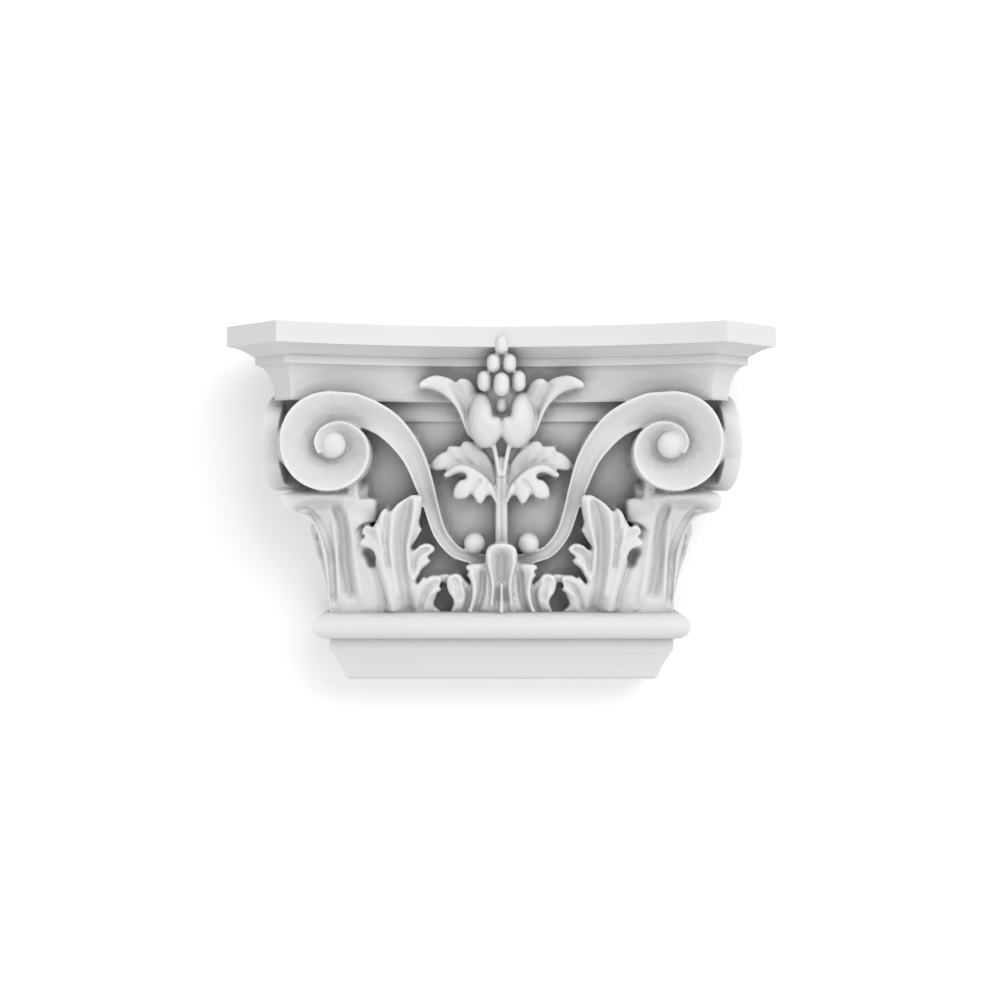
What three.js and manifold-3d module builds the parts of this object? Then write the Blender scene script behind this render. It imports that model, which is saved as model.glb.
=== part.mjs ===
// Corinthian pilaster capital, cast in one piece with a flat back that sits against a wall.
// Millimetres. X runs across, Z is up, and the wall face lies in the plane y = 0 with the front towards -Y.
// The origin is the middle of the wall face. Across is measured from the middle line, height from the
// underside, and reach is how far a point stands out from the wall.
import * as THREE from "three";
import { mergeVertices } from "three/addons/utils/BufferGeometryUtils.js";
import Module from "manifold-3d";

// Overall block
const HEIGHT = 224;
const ABACUS_WIDTH = 342.6;
const ABACUS_REACH = 107;
const CORNER_CUT = 36;
const ABACUS_HOLLOW = 33.6;
const NECK_WIDTH = 220;

// Mouldings, by height
const FASCIA_HEIGHT = 12.6;
const DRIP_HEIGHT = 6.3;
const FILLET_HEIGHT = 4.8;
const CAVETTO_HEIGHT = 22;
const LIP_HEIGHT = 12;
const ASTRAGAL_HEIGHT = 17.2;
const NECK_HEIGHT = 7;
const BASE_HEIGHT = 20;

// Mouldings, by how far each one steps in from the one above
const DRIP_INSET = 14;
const CAVETTO_INSET = 10;
const BASE_INSET = 11.5;
const LIP_STEP = 3;
const BELL_SINK = 17.5;
const ASTRAGAL_STANDING = 10.2;

// How far the mouldings run on behind the wall face before they are cut off there
const CUT_OFF = 3;

// Volutes
const VOLUTE_RADIUS = 33;
const VOLUTE_CHANNEL = 9.5;
const VOLUTE_PLATE = 11;
const VOLUTE_SPLAY = 0.2;
const VOLUTE_SPLIT = 1.4;
const EYE_RADIUS = 10.4;
const STEM_CHANNEL = 2.6;
const CURL_RADIUS = 6.3;

// Relief
const ROOT_SINK = 2.2;
const LEAF_CROWN = 0.55;
const PETAL_CROWN = 0.4;
const BROAD_LOBE = 5.6;

// Places worked out from the sizes above
const TIP = ABACUS_WIDTH / 2;
const DIAGONAL = TIP - ABACUS_REACH;
const NECK_HALF = NECK_WIDTH / 2;
const NECK_REACH = NECK_HALF - DIAGONAL;
const NECK_FOOT = BASE_HEIGHT;
const ASTRAGAL_FOOT = NECK_FOOT + NECK_HEIGHT;
const BELL_FOOT = ASTRAGAL_FOOT + ASTRAGAL_HEIGHT;
const FASCIA_FOOT = HEIGHT - FASCIA_HEIGHT;
const DRIP_FOOT = FASCIA_FOOT - DRIP_HEIGHT;
const FILLET_FOOT = DRIP_FOOT - FILLET_HEIGHT;
const ABACUS_FOOT = FILLET_FOOT - CAVETTO_HEIGHT;
const LIP_FOOT = ABACUS_FOOT - LIP_HEIGHT;

// The carving is drawn on a bell of this size, and is stretched with the bell and the overhang.
// It is rooted a little behind the bell's deepest face.
const DRAWN = { half: 110, foot: 44.2, height: 134, face: 45.7, overhang: 61.3 };
const STRETCH = {
  across: NECK_HALF / DRAWN.half,
  height: (ABACUS_FOOT - BELL_FOOT) / DRAWN.height,
  reach: (ABACUS_REACH - NECK_REACH) / DRAWN.overhang,
};
const ROOT = NECK_REACH - BELL_SINK - ROOT_SINK;

const wasm = await Module();
wasm.setup();

// A drawn point, [across, height, reach], at its place on this capital.
function carve([across, height, reach]) {
  return [
    across * STRETCH.across,
    BELL_FOOT + (height - DRAWN.foot) * STRETCH.height,
    NECK_REACH + (reach - DRAWN.face) * STRETCH.reach,
  ];
}

// The four places that a shape on the front left takes: either half of the front, and either side.
const PLACES = {
  left: ([across, height, reach]) => [-across, -reach, height],
  right: ([across, height, reach]) => [across, -reach, height],
  leftSide: ([across, height, reach]) => [-(reach + DIAGONAL), -(across - DIAGONAL), height],
  rightSide: ([across, height, reach]) => [reach + DIAGONAL, -(across - DIAGONAL), height],
};
const FRONT = [PLACES.left, PLACES.right];
const ROUND = Object.values(PLACES);

// A closed geometry as a solid, with its faces pointing out.
function solid(geometry) {
  const bare = new THREE.BufferGeometry();
  bare.setAttribute("position", geometry.getAttribute("position"));
  bare.setIndex(geometry.getIndex());
  const merged = mergeVertices(bare, 1e-4);
  const mesh = (triVerts) =>
    new wasm.Manifold(
      new wasm.Mesh({ numProp: 3, vertProperties: merged.attributes.position.array, triVerts }),
    );
  const triVerts = new Uint32Array(merged.index.array);
  const made = mesh(triVerts);
  return made.volume() < 0 ? mesh(triVerts.slice().reverse()) : made;
}

const middle = (points) => [0, 1, 2].map((k) => points.reduce((sum, p) => sum + p[k], 0) / points.length);

// A solid through closed rings of points that all have the same count, with a fan over each end that
// spreads from its hub.
function loft(rings, hub = middle) {
  const count = rings[0].length;
  const points = [...rings.flat(), hub(rings[0]), hub(rings.at(-1))];
  const faces = [];
  const last = rings.length - 1;
  for (let i = 0; i < count; i++) {
    const next = (i + 1) % count;
    for (let row = 0; row < last; row++) {
      const low = row * count;
      faces.push(low + i, low + next, low + count + next);
      faces.push(low + i, low + count + next, low + count + i);
    }
    faces.push(points.length - 2, next, i);
    faces.push(points.length - 1, last * count + i, last * count + next);
  }
  const geometry = new THREE.BufferGeometry();
  geometry.setAttribute("position", new THREE.Float32BufferAttribute(points.flat(), 3));
  geometry.setIndex(faces);
  return solid(geometry);
}

// A carved loft, whose rings are given in across, height and reach, at each of the places.
function carved(rings, places) {
  return places.map((place) => loft(rings.map((ring) => ring.map(place))));
}

// A smooth line through a list of drawn rows of numbers, read at a share of its length in rows.
function smooth(rows) {
  const columns = rows[0].length;
  const lines = [];
  for (let k = 0; k < columns; k += 3) {
    const part = rows.map((row) => new THREE.Vector3(row[k], row[k + 1] ?? 0, row[k + 2] ?? 0));
    lines.push(new THREE.CatmullRomCurve3(part, false, "catmullrom", 0.5));
  }
  return (share) => lines.flatMap((line) => line.getPoint(share).toArray()).slice(0, columns);
}

const shares = (count) => Array.from({ length: count + 1 }, (_, i) => i / count);

// Plan outlines, from one wall end round the front to the other, as [x, y] at an inset.
function squarePlan(inset) {
  const half = NECK_HALF - inset;
  const reach = NECK_REACH - inset;
  return [
    [-half, CUT_OFF],
    [-half, -reach],
    [half, -reach],
    [half, CUT_OFF],
  ];
}

// The abacus is hollowed along its front and sides, and its corners are cut off at 45 degrees.
function abacusPlan(inset, steps = 6) {
  const cornerAcross = TIP - CORNER_CUT;
  const radius = (cornerAcross ** 2 + ABACUS_HOLLOW ** 2) / (2 * ABACUS_HOLLOW);
  const centre = ABACUS_REACH - ABACUS_HOLLOW + radius;
  const cut = cornerAcross + ABACUS_REACH - inset * Math.SQRT2;
  const arc = radius + inset;
  const reachAt = (across) => centre - Math.sqrt(arc ** 2 - across ** 2);
  const sum = (centre - cut) * 2;
  const corner = (-sum + Math.sqrt(sum ** 2 - 8 * ((centre - cut) ** 2 - arc ** 2))) / 4;
  const front = shares(steps).map((s) => [corner * s, reachAt(corner * s)]);
  const side = shares(steps - 3).map((s) => {
    const across = corner + (DIAGONAL - CUT_OFF - corner) * s;
    return [reachAt(across) + DIAGONAL, across - DIAGONAL];
  });
  const half = [...front, ...side];
  return [
    ...half.toReversed().map(([across, reach]) => [-across, -reach]),
    ...half.slice(1).map(([across, reach]) => [across, -reach]),
  ];
}

// A block whose outline follows a plan and whose face follows a profile of [inset, height]. Its ends
// spread from a hub near the wall, so that they stay inside a hollow front.
function moulding(plan, profile) {
  const rings = profile.map(([inset, height]) => plan(inset).map(([x, y]) => [x, y, height]));
  return loft(rings, (ring) => middle([ring[0], ring[ring.length >> 1], ring.at(-1)]));
}

function abacus() {
  const cavetto = shares(3).map((s) => [
    DRIP_INSET + CAVETTO_INSET * Math.sin((s * Math.PI) / 2),
    FILLET_FOOT - CAVETTO_HEIGHT * (1 - Math.cos((s * Math.PI) / 2)),
  ]);
  return moulding(abacusPlan, [
    [0, HEIGHT],
    [0, FASCIA_FOOT],
    [DRIP_INSET * 0.55, FASCIA_FOOT - DRIP_HEIGHT * 0.35],
    [DRIP_INSET - 0.6, DRIP_FOOT],
    [DRIP_INSET, DRIP_FOOT],
    ...cavetto,
  ]);
}

// How far the bell lies behind the neck's face at a height.
function bellInset(height) {
  const share = (height - BELL_FOOT) / (LIP_FOOT - BELL_FOOT);
  return LIP_STEP + (BELL_SINK - LIP_STEP) * (1 - share ** 2.4);
}

function bell() {
  const rows = shares(4).map((s) => BELL_FOOT + (LIP_FOOT - BELL_FOOT) * (1 - s));
  return moulding(squarePlan, [
    [0, ABACUS_FOOT + 1],
    [0, LIP_FOOT],
    ...rows.map((height) => [bellInset(height), height]),
    [BELL_SINK, BELL_FOOT - 1],
  ]);
}

function foot() {
  const radius = ASTRAGAL_HEIGHT / 2;
  const astragal = shares(7).map((s) => [
    -Math.sin(s * Math.PI) * ASTRAGAL_STANDING,
    BELL_FOOT - radius + radius * Math.cos(s * Math.PI),
  ]);
  const base = [
    [0, 1],
    [0.4, 0.66],
    [0.66, 0.34],
    [0.76, 0.1],
    [1, 0],
  ].map(([inset, height]) => [BASE_INSET * inset, BASE_HEIGHT * height]);
  return moulding(squarePlan, [...astragal, ...base]);
}

// The volute's outline, as shares of its radius at each eighth of a turn from the top.
const SPIRAL = [1, 0.99, 0.94, 0.92, 0.87, 0.8, 0.69, 0.54, 0.41, 0.345, 0.32];
const VOLUTE_EYE = [105.5, 150.5, 80];
const SPIRAL_START = Math.PI / 2;

function spiralRadius(turn) {
  const place = Math.min(turn * 8, SPIRAL.length - 1.001);
  const low = Math.floor(place);
  const at = (k) => SPIRAL[Math.min(Math.max(k, 0), SPIRAL.length - 1)];
  const s = place - low;
  const [a, b, c, d] = [at(low - 1), at(low), at(low + 1), at(low + 2)];
  const bend = (c - a) * s + (2 * a - 5 * b + 4 * c - d) * s ** 2 + (3 * b - a - 3 * c + d) * s ** 3;
  return VOLUTE_RADIUS * (b + bend / 2);
}

// The stem's two edges and the reach of its rims, from its foot up to the top of the volute, as drawn.
const STEM = [
  [10, 80.5, 10.5, 73, 41],
  [20, 82.5, 23, 76, 42],
  [28.5, 87, 33.5, 80.5, 43],
  [36, 97.5, 43.5, 93, 46],
  [40.5, 113.5, 50, 111.5, 50],
  [43.5, 127.5, 55, 124.5, 55],
  [48, 143, 61, 138.5, 61],
  [55.5, 157.5, 69, 149, 67],
  [65.5, 169.5, 77.5, 156.5, 72],
  [78, 177.5, 86, 160.5, 75.5],
  [90.5, 182.5, 93.5, 163, 77.5],
];

// How far back a point of the volute may reach: to the root, but short of the corner's diagonal, so that
// a slot parts the front volute from the side one.
const shortOfDiagonal = (across, back) => Math.max(back, across - DIAGONAL + VOLUTE_SPLIT);

// One ring of the ribbon: two rims and the channel between, which in the volute falls to its inner edge.
// Where it is free its back is a plate's thickness behind the rims, and elsewhere it is rooted.
function ribbonRing(outer, inner, reach, free, rolled, splay = 0) {
  const channel = [
    [0, 0, 0],
    [0.13, 0.02, 0],
    [0.5, 1, 0.62],
    [0.87, 0.02, 0.97],
    [1, 0, 1],
  ];
  const across = (share, k) => outer[k] + (inner[k] - outer[k]) * share;
  const front = channel.map(([share, inStem, inVolute]) => {
    const depth = STEM_CHANNEL * inStem * (1 - rolled) + VOLUTE_CHANNEL * inVolute * rolled;
    return [across(share, 0), across(share, 1), reach - depth + splay * across(share, 0)];
  });
  const backs = [inner, outer].map((edge) => {
    const plate = reach + splay * edge[0] - VOLUTE_PLATE;
    return [...edge, shortOfDiagonal(edge[0], THREE.MathUtils.lerp(ROOT, plate, free))];
  });
  return [...front, ...backs];
}

function voluteRings(from, to, steps) {
  const [eyeAcross, eyeHeight, reach] = carve(VOLUTE_EYE);
  const { smoothstep } = THREE.MathUtils;
  const point = (radius, angle) => [
    eyeAcross - radius * Math.cos(angle),
    eyeHeight + radius * Math.sin(angle),
  ];
  return shares(steps).map((s) => {
    const turn = from + (to - from) * s;
    const angle = SPIRAL_START + turn * 2 * Math.PI;
    const inner = Math.min(spiralRadius(turn + 1), spiralRadius(turn)) * 0.9;
    const free = smoothstep(turn, 0.02, 0.1) * (1 - smoothstep(turn, 0.4, 0.5));
    const outer = point(spiralRadius(turn), angle);
    return ribbonRing(
      outer,
      point(inner, angle),
      reach - VOLUTE_SPLAY * eyeAcross,
      free,
      1 - smoothstep(turn, 0.85, 1.1) * 0.25,
      VOLUTE_SPLAY,
    );
  });
}

// The stem rises from the middle and runs over into the volute, whose last half turn is its own loft.
function volute() {
  const line = smooth(STEM);
  const stem = shares(10).map((s) => {
    const [outerAcross, outerHeight, innerAcross, innerHeight, reach] = line(s);
    const outer = carve([outerAcross, outerHeight, reach]);
    const inner = carve([innerAcross, innerHeight, reach]);
    const rolled = THREE.MathUtils.smoothstep(s, 0.55, 1);
    return ribbonRing(outer.slice(0, 2), inner.slice(0, 2), outer[2], 0, rolled);
  });
  const upper = carved([...stem, ...voluteRings(0.01, 0.52, 7)], ROUND);
  const lower = carved(voluteRings(0.48, 1.06, 8), ROUND);
  const [across, height, reach] = carve(VOLUTE_EYE);
  const eyes = studs([across, height, reach + 1.5], EYE_RADIUS, 7, 10, ROUND);
  return [...upper, ...lower, ...eyes];
}

// A round stud with a domed head, standing out from the bell.
function studs([across, height, reach], radius, dome, sides, places) {
  const ring = (size, depth) =>
    shares(sides)
      .slice(1)
      .map((s) => [
        across + size * Math.cos(s * 2 * Math.PI),
        height + size * Math.sin(s * 2 * Math.PI),
        depth,
      ]);
  const head = shares(2).map((s) =>
    ring(radius * Math.cos((s * Math.PI) / 2.4), reach - dome * (1 - Math.sin((s * Math.PI) / 2))),
  );
  return carved([ring(radius, ROOT), ...head], places);
}

// The core that bridges the slot between the front volute and the side one, drawn on the diagonal, with
// its radii out along the diagonal, across it and up, as shares of the volute's radius.
const CORE = { across: 120, height: 151, radii: [0.79, 0.36, 0.67] };

function cornerCores() {
  const [across, height] = carve([CORE.across, CORE.height, 0]);
  const ball = new THREE.SphereGeometry(1, 8, 6, Math.PI / 8);
  ball.rotateX(Math.PI / 2).scale(...CORE.radii.map((share) => share * VOLUTE_RADIUS));
  return [-1, 1].map((side) =>
    solid(
      ball
        .clone()
        .rotateZ((-side * Math.PI) / 4)
        .translate(side * across, DIAGONAL - across, height),
    ),
  );
}

// A leaf lobe: a crowned blade along a drawn line of [across, height, reach, half width].
// A narrow one has a single ridge along its face.
function lobe(rows, { crown = LEAF_CROWN, groove = 0, steps = 5, places = FRONT } = {}) {
  const line = smooth(rows);
  const broad = groove > 0 || Math.max(...rows.map((row) => row[3])) >= BROAD_LOBE;
  const rings = shares(steps).map((s) => {
    const [across, height, reach, half] = line(s);
    const before = line(Math.max(s - 0.01, 0));
    const after = line(Math.min(s + 0.01, 1));
    const run = new THREE.Vector2(after[0] - before[0], after[1] - before[1]).normalize();
    const front = (broad ? [-1, -0.55, 0, 0.55, 1] : [-1, 0, 1]).map((t) => {
      const fall = crown * half * t ** 2 + (t === 0 ? groove * half : 0);
      return carve([across - run.y * half * t, height + run.x * half * t, reach - fall]);
    });
    const root = ([a, h]) => [a, h, ROOT];
    return [...front, root(front.at(-1)), root(front[0])];
  });
  return carved(rings, places);
}

// The corner leaf, drawn as rows of points from its middle rib, on the diagonal, to its inner edge on the
// front. A rib is [height, reach], because its place across follows from the diagonal.
const CORNER_LEAF = [
  {
    rib: [42, 46],
    height: 42,
    row: [[106, 45.5], [102, 46], [97.5, 45], [90, 46], [80, 45], [66, 43]],
  },
  {
    rib: [74.5, 48.5],
    height: 74.5,
    row: [[106.5, 46], [102, 47], [99.5, 42.5], [93.5, 50], [84, 50], [72, 45]],
  },
  {
    rib: [90.5, 51.5],
    height: 90.5,
    row: [[108.5, 48], [103.5, 49.5], [101, 44], [95, 53.5], [88, 52.5], [80, 45]],
  },
  {
    rib: [101, 56],
    height: 101.5,
    row: [[111, 51], [106, 52], [103, 47], [97.5, 56.5], [90, 51.5], [84, 44]],
  },
  {
    rib: [106, 61.5],
    height: 107.5,
    row: [[114, 56], [107.5, 55], [105, 50], [99, 59], [90.5, 53], [86, 44]],
  },
  {
    rib: [108.5, 69],
    height: 113,
    row: [[117, 64], [108.5, 63], [104.5, 61], [98, 62], [90.5, 56], [86, 46]],
  },
  {
    rib: [119, 72.5],
    height: 121,
    row: [[119, 68.5], [109.5, 66], [103.5, 64], [97, 62], [90.5, 56], [86, 46]],
  },
  {
    rib: [122, 66],
    height: 123.5,
    row: [[118, 60], [110, 57], [104, 55], [98, 54], [91, 50], [86, 44]],
  },
  {
    rib: [131, 52],
    height: 129,
    row: [[114, 48], [108, 46], [103, 44], [97, 43], [91, 40], [87, 36]],
  },
];

// A point of the front, mirrored over the corner's diagonal on to the side.
const overDiagonal = ([across, height, reach]) => [reach + DIAGONAL, height, across - DIAGONAL];

function cornerLeaves() {
  const rings = CORNER_LEAF.map(({ rib, height, row }) => {
    const [, ribHeight, ribReach] = carve([0, ...rib]);
    const front = row.map(([across, reach]) => carve([across, height, reach])).toReversed();
    const [inner, up] = front[0];
    const half = [[inner, up, ROOT], ...front];
    return [
      ...half,
      [ribReach + DIAGONAL, ribHeight, ribReach],
      ...half.map(overDiagonal).toReversed(),
      [ROOT + DIAGONAL, ribHeight, ROOT],
    ];
  });
  const frills = [
    lobe(
      [
        [93, 86, 48, 4],
        [93.5, 106, 56, 5],
        [94.5, 119, 62, 4.5],
        [94.5, 128, 63, 3.5],
      ],
      { steps: 3, places: ROUND },
    ),
    lobe(
      [
        [95.5, 84, 47, 4],
        [93, 97, 52, 5],
        [88, 107, 56, 6.5],
        [83.5, 113.5, 57, 5],
      ],
      { steps: 3, places: ROUND },
    ),
  ];
  return [...carved(rings, FRONT), ...frills.flat()];
}

// The broad leaf beside the corner leaf. Its outer lobes run round the corner on to the sides.
const BODY_LOBES = [
  [[68, 42, 47, 8], [71, 64, 51, 9.5], [70.5, 84, 55, 10], [66.5, 100, 57, 9], [61, 112, 58, 5]],
];
const OUTER_LOBES = [
  [[71, 48, 45, 4.5], [76, 64, 51, 5], [81, 80, 56, 5], [89, 88, 56, 3]],
  [[72, 54, 46, 5], [76, 72, 53, 5], [81, 90, 59, 4.8], [88, 98, 58, 3]],
  [[71, 60, 47, 5], [74, 80, 56, 5.5], [77, 96, 60, 4.8], [80, 105, 59, 2]],
  [[69.5, 64, 48, 5], [70.5, 82, 57, 5.5], [72.5, 99, 60.5, 5], [74.5, 111.5, 60, 2]],
];
const INNER_LOBES = [
  [[66, 62, 47, 5], [65.5, 82, 56, 6], [62.5, 99, 60, 6.5], [58, 112.5, 61, 5], [54.5, 118.5, 60, 2.4]],
  [[64, 42, 46, 4], [62.5, 74.5, 51, 4], [58.5, 92, 55, 4], [54.5, 106.5, 57, 3.2], [52, 117, 57, 1.6]],
  [[60, 79, 50, 2.5], [56.5, 90.5, 53, 2.5], [52, 98, 51, 1]],
  [[63, 46, 45, 4.5], [60, 68, 48, 4], [56, 78, 49, 3.6], [51.5, 85, 50, 3.6], [44.5, 85.5, 49, 2]],
  [[60, 58, 46, 3], [55.5, 70, 47, 3], [51.5, 76, 48, 2.8], [46, 77.5, 47, 1]],
  [[58, 42, 45, 7], [56, 53, 46, 7.5], [50, 61.5, 48, 6], [40, 65.5, 49, 2.5]],
  [[54, 42, 45, 7], [50, 50.5, 46, 6.5], [46.5, 56.5, 47, 5], [42, 58, 47, 2]],
  [[50, 42, 45, 6.5], [47, 48, 46, 4.5], [43.5, 52, 46, 2]],
];

// The small leaf in the middle, over the astragal, with its lobes either side.
const MIDDLE_LOBE = [
  [0, 42, 45, 9],
  [0, 56, 48.5, 7],
  [0, 68, 51.5, 8],
  [0, 79, 54.5, 10.1],
  [0, 86, 57, 7.5],
];
const SIDE_LOBES = [
  [[14, 42, 45, 7.5], [13.5, 56, 48, 6.5], [14.5, 68, 50.5, 7.5], [14.5, 74.5, 52, 7.5]],
  [[26, 42, 44.5, 5.5], [26, 55, 47.5, 6], [29, 63, 50, 6], [29.5, 68, 51, 4]],
];

// The pair of leaves that droop from the flower's stalk.
const STALK_LEAF = [
  [
    [3, 116, 50, 2],
    [7.5, 132.5, 52, 4],
    [15, 143.5, 54, 6.5],
    [25, 146, 55, 5.8],
    [35.5, 142.5, 54, 5],
    [44, 137, 51, 2.6],
  ],
  [[16, 142.5, 54, 4.5], [22, 152, 53, 2]],
  [[29, 143, 54, 4], [34, 148.5, 52, 1.6]],
  [[8, 123, 52, 3], [17, 134, 57, 6.5], [27, 136, 58, 5], [35.5, 132, 55, 1.6]],
  [[7.5, 121, 52, 3], [14.5, 131, 57, 7.5], [22.5, 126.5, 59, 7.5], [27.5, 118, 57, 4]],
  [[6, 118.5, 52, 2.5], [10.5, 127, 56, 6], [13, 121, 58, 5], [13.5, 115, 56, 2.4]],
];
const STALK = [
  [0, 67.5, 42, 4],
  [0, 90.5, 45, 3.9],
  [0, 109.5, 49, 3.8],
  [0, 125, 53.5, 3.8],
  [0, 140, 57, 3],
];
const BRANCH = [[1.5, 130, 55, 1.6], [4, 142.5, 58, 1.6], [7, 154, 61, 1.8]];
const PETAL = [
  [5, 154, 56, 3],
  [13.5, 164, 57, 8.5],
  [20, 177, 60, 10],
  [28.5, 184.5, 65, 7.5],
  [39.5, 189.5, 69, 4.5],
  [51, 187.5, 71, 1.5],
];
const FLOWER_CORE = [[0, 150, 52, 7], [0, 172, 62, 14], [0, 192, 67, 10], [0, 213, 69, 4]];

// Egg-shaped buds and berries: [across, height, reach] and then their three radii.
const BUDS = [
  [12.6, 168.3, 61, 8.6, 16, 8.5],
  [5.6, 161.5, 62.5, 5.2, 9.2, 7],
];
const BERRIES = [
  [0, 213, 71.5, 4.3, 5.7, 5],
  [4.9, 201.5, 70, 3.9, 5.4, 5],
  [10.1, 191, 67.5, 4.2, 6, 5],
  [0, 188, 71, 4.4, 7.2, 5.5],
  [0, 175, 66, 3.8, 6, 5],
];

const EGG_SIDES = 7;

function eggs([across, height, reach, wide, tall, deep], rows) {
  const [a, h, r] = carve([across, height, reach]);
  const sides = across === 0 ? [1] : [-1, 1];
  const egg = new THREE.SphereGeometry(1, EGG_SIDES, rows).rotateX(Math.PI / 2);
  egg.scale(wide * STRETCH.across, deep * STRETCH.reach, tall * STRETCH.height);
  return sides.map((side) => solid(egg.clone().translate(side * a, -r, h)));
}

function flower() {
  return [
    ...STALK_LEAF.flatMap((rows) => lobe(rows, { steps: rows.length > 4 ? 6 : rows.length })),
    ...lobe(STALK, { crown: 0.35, groove: 0.3, places: [PLACES.left] }),
    ...lobe(BRANCH, { crown: 0.6, steps: 2 }),
    ...lobe(PETAL, { crown: PETAL_CROWN, steps: 5 }),
    ...lobe(FLOWER_CORE, { crown: 0.2, steps: 4, places: [PLACES.left] }),
    ...BUDS.flatMap((bud) => eggs(bud, 5)),
    ...BERRIES.flatMap((berry) => eggs(berry, 4)),
  ];
}

function foliage() {
  const broadLeaf = (rows, places) => lobe(rows, { steps: rows.length - 1, places });
  return [
    ...cornerLeaves(),
    ...[...BODY_LOBES, ...OUTER_LOBES].flatMap((rows) => broadLeaf(rows, ROUND)),
    ...INNER_LOBES.flatMap((rows) => broadLeaf(rows, FRONT)),
    ...lobe(MIDDLE_LOBE, { groove: 0.55, steps: 6, places: [PLACES.left] }),
    ...SIDE_LOBES.flatMap((rows) => lobe(rows, { groove: 0.25, steps: 4 })),
  ];
}

const CURL = [17.5, 88.5, 46.5];

// Everything that reaches behind the wall face is cut away there, and pockets shut in by the joins
// are filled.
function capital() {
  const pieces = [
    abacus(),
    bell(),
    foot(),
    ...volute(),
    ...studs(carve(CURL), CURL_RADIUS, 5, 8, FRONT),
    ...cornerCores(),
    ...foliage(),
    ...flower(),
  ];
  const whole = pieces.reduce((joined, piece) => joined.add(piece));
  const behind = new THREE.BoxGeometry(2 * ABACUS_WIDTH, ABACUS_WIDTH, 2 * HEIGHT);
  const cut = whole.subtract(solid(behind.translate(0, ABACUS_WIDTH / 2, HEIGHT / 2)));
  const bodies = cut.decompose().filter((body) => body.volume() > 0);
  return bodies.reduce((joined, body) => joined.add(body));
}

// Joins that meet exactly leave edges of almost no length. The two ends of each edge shorter than WELD
// become one corner, and the triangles that close up with them go.
const WELD = 1e-3;

function weld(corners, points) {
  const same = points.map((_, i) => i);
  const first = (i) => (same[i] === i ? i : first(same[i]));
  const apart = (i, j) => Math.hypot(...points[i].map((value, k) => value - points[j][k]));
  for (let i = 0; i < corners.length; i++) {
    const next = i % 3 === 2 ? i - 2 : i + 1;
    const [a, b] = [corners[i], corners[next]];
    if (apart(a, b) < WELD) same[first(a)] = first(b);
  }
  const joined = corners.map(first);
  return joined.filter((_, i) => {
    const [a, b, c] = joined.slice(i - (i % 3), i - (i % 3) + 3);
    return a !== b && b !== c && c !== a;
  });
}

// The joined solid as a named mesh, lowered so that the origin is the middle of the wall face.
function meshOf(name, made, material) {
  const { numProp, vertProperties, triVerts } = made.getMesh();
  const geometry = new THREE.BufferGeometry();
  const points = Array.from({ length: vertProperties.length / numProp }, (_, i) =>
    Array.from(vertProperties.subarray(i * numProp, i * numProp + 3)),
  );
  geometry.setAttribute("position", new THREE.Float32BufferAttribute(points.flat(), 3));
  geometry.setIndex(weld(Array.from(triVerts), points));
  geometry.computeVertexNormals();
  const mesh = new THREE.Mesh(geometry, material);
  mesh.name = name;
  mesh.position.z = -HEIGHT / 2;
  return mesh;
}

const castWhite = new THREE.MeshStandardMaterial({ color: 0xeeeeec, roughness: 0.62, metalness: 0 });
const part = new THREE.Group();
part.add(meshOf("pilaster_capital", capital(), castWhite));

export default part;
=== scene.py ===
"""Looks of a cast Corinthian pilaster capital that is fixed flat to a wall.

The carving is drawn in millimetres on the left half of the front, as across, height and reach: how far
a point lies from the middle line, above the underside and in front of the wall.
"""
import logging
import math
from dataclasses import dataclass
from enum import Enum
from typing import Callable, Iterable, Sequence

import bmesh
import bpy
import numpy as np
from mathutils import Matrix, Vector
from mathutils.bvhtree import BVHTree
from mathutils.geometry import delaunay_2d_cdt


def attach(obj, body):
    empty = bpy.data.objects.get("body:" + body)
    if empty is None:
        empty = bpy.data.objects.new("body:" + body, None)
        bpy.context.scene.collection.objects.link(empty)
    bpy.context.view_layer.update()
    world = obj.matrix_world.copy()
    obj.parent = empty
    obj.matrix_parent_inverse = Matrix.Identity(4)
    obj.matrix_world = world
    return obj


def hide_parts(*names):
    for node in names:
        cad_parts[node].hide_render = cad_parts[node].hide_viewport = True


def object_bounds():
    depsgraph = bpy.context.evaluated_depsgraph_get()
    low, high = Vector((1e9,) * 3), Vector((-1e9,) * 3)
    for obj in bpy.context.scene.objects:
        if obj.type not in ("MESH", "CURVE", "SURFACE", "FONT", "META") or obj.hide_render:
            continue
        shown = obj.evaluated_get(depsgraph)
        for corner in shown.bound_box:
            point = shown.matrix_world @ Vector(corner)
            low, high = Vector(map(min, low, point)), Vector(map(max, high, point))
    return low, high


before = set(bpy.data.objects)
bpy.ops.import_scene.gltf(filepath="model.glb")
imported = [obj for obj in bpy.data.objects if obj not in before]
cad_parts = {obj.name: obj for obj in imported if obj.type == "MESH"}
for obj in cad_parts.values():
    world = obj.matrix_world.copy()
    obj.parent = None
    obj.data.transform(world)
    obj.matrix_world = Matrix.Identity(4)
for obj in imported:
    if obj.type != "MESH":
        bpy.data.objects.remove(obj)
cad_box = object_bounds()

LOG = logging.getLogger("capital")
NODE = "pilaster_capital"
BODY = "root"
METRES = 0.001
# Reach of the carving's hidden backs, inside the bell.
ROOT = 26.0
# Shares of painted shade in the recesses and of painted highlight on the edges, which the casting's mesh
# keeps at each point.
PAINTED_SHADE = "painted_shading"
PAINTED_HIGHLIGHT = "painted_highlight"

Row = tuple[float, ...]
Plan = Callable[[float], np.ndarray]


class Place(Enum):
    """The four places that a shape drawn on the left of the front takes."""

    LEFT = "left of the front"
    RIGHT = "right of the front"
    LEFT_SIDE = "left side"
    RIGHT_SIDE = "right side"


FRONT = (Place.LEFT, Place.RIGHT)
MIDDLE = (Place.LEFT,)
ROUND = tuple(Place)


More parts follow.
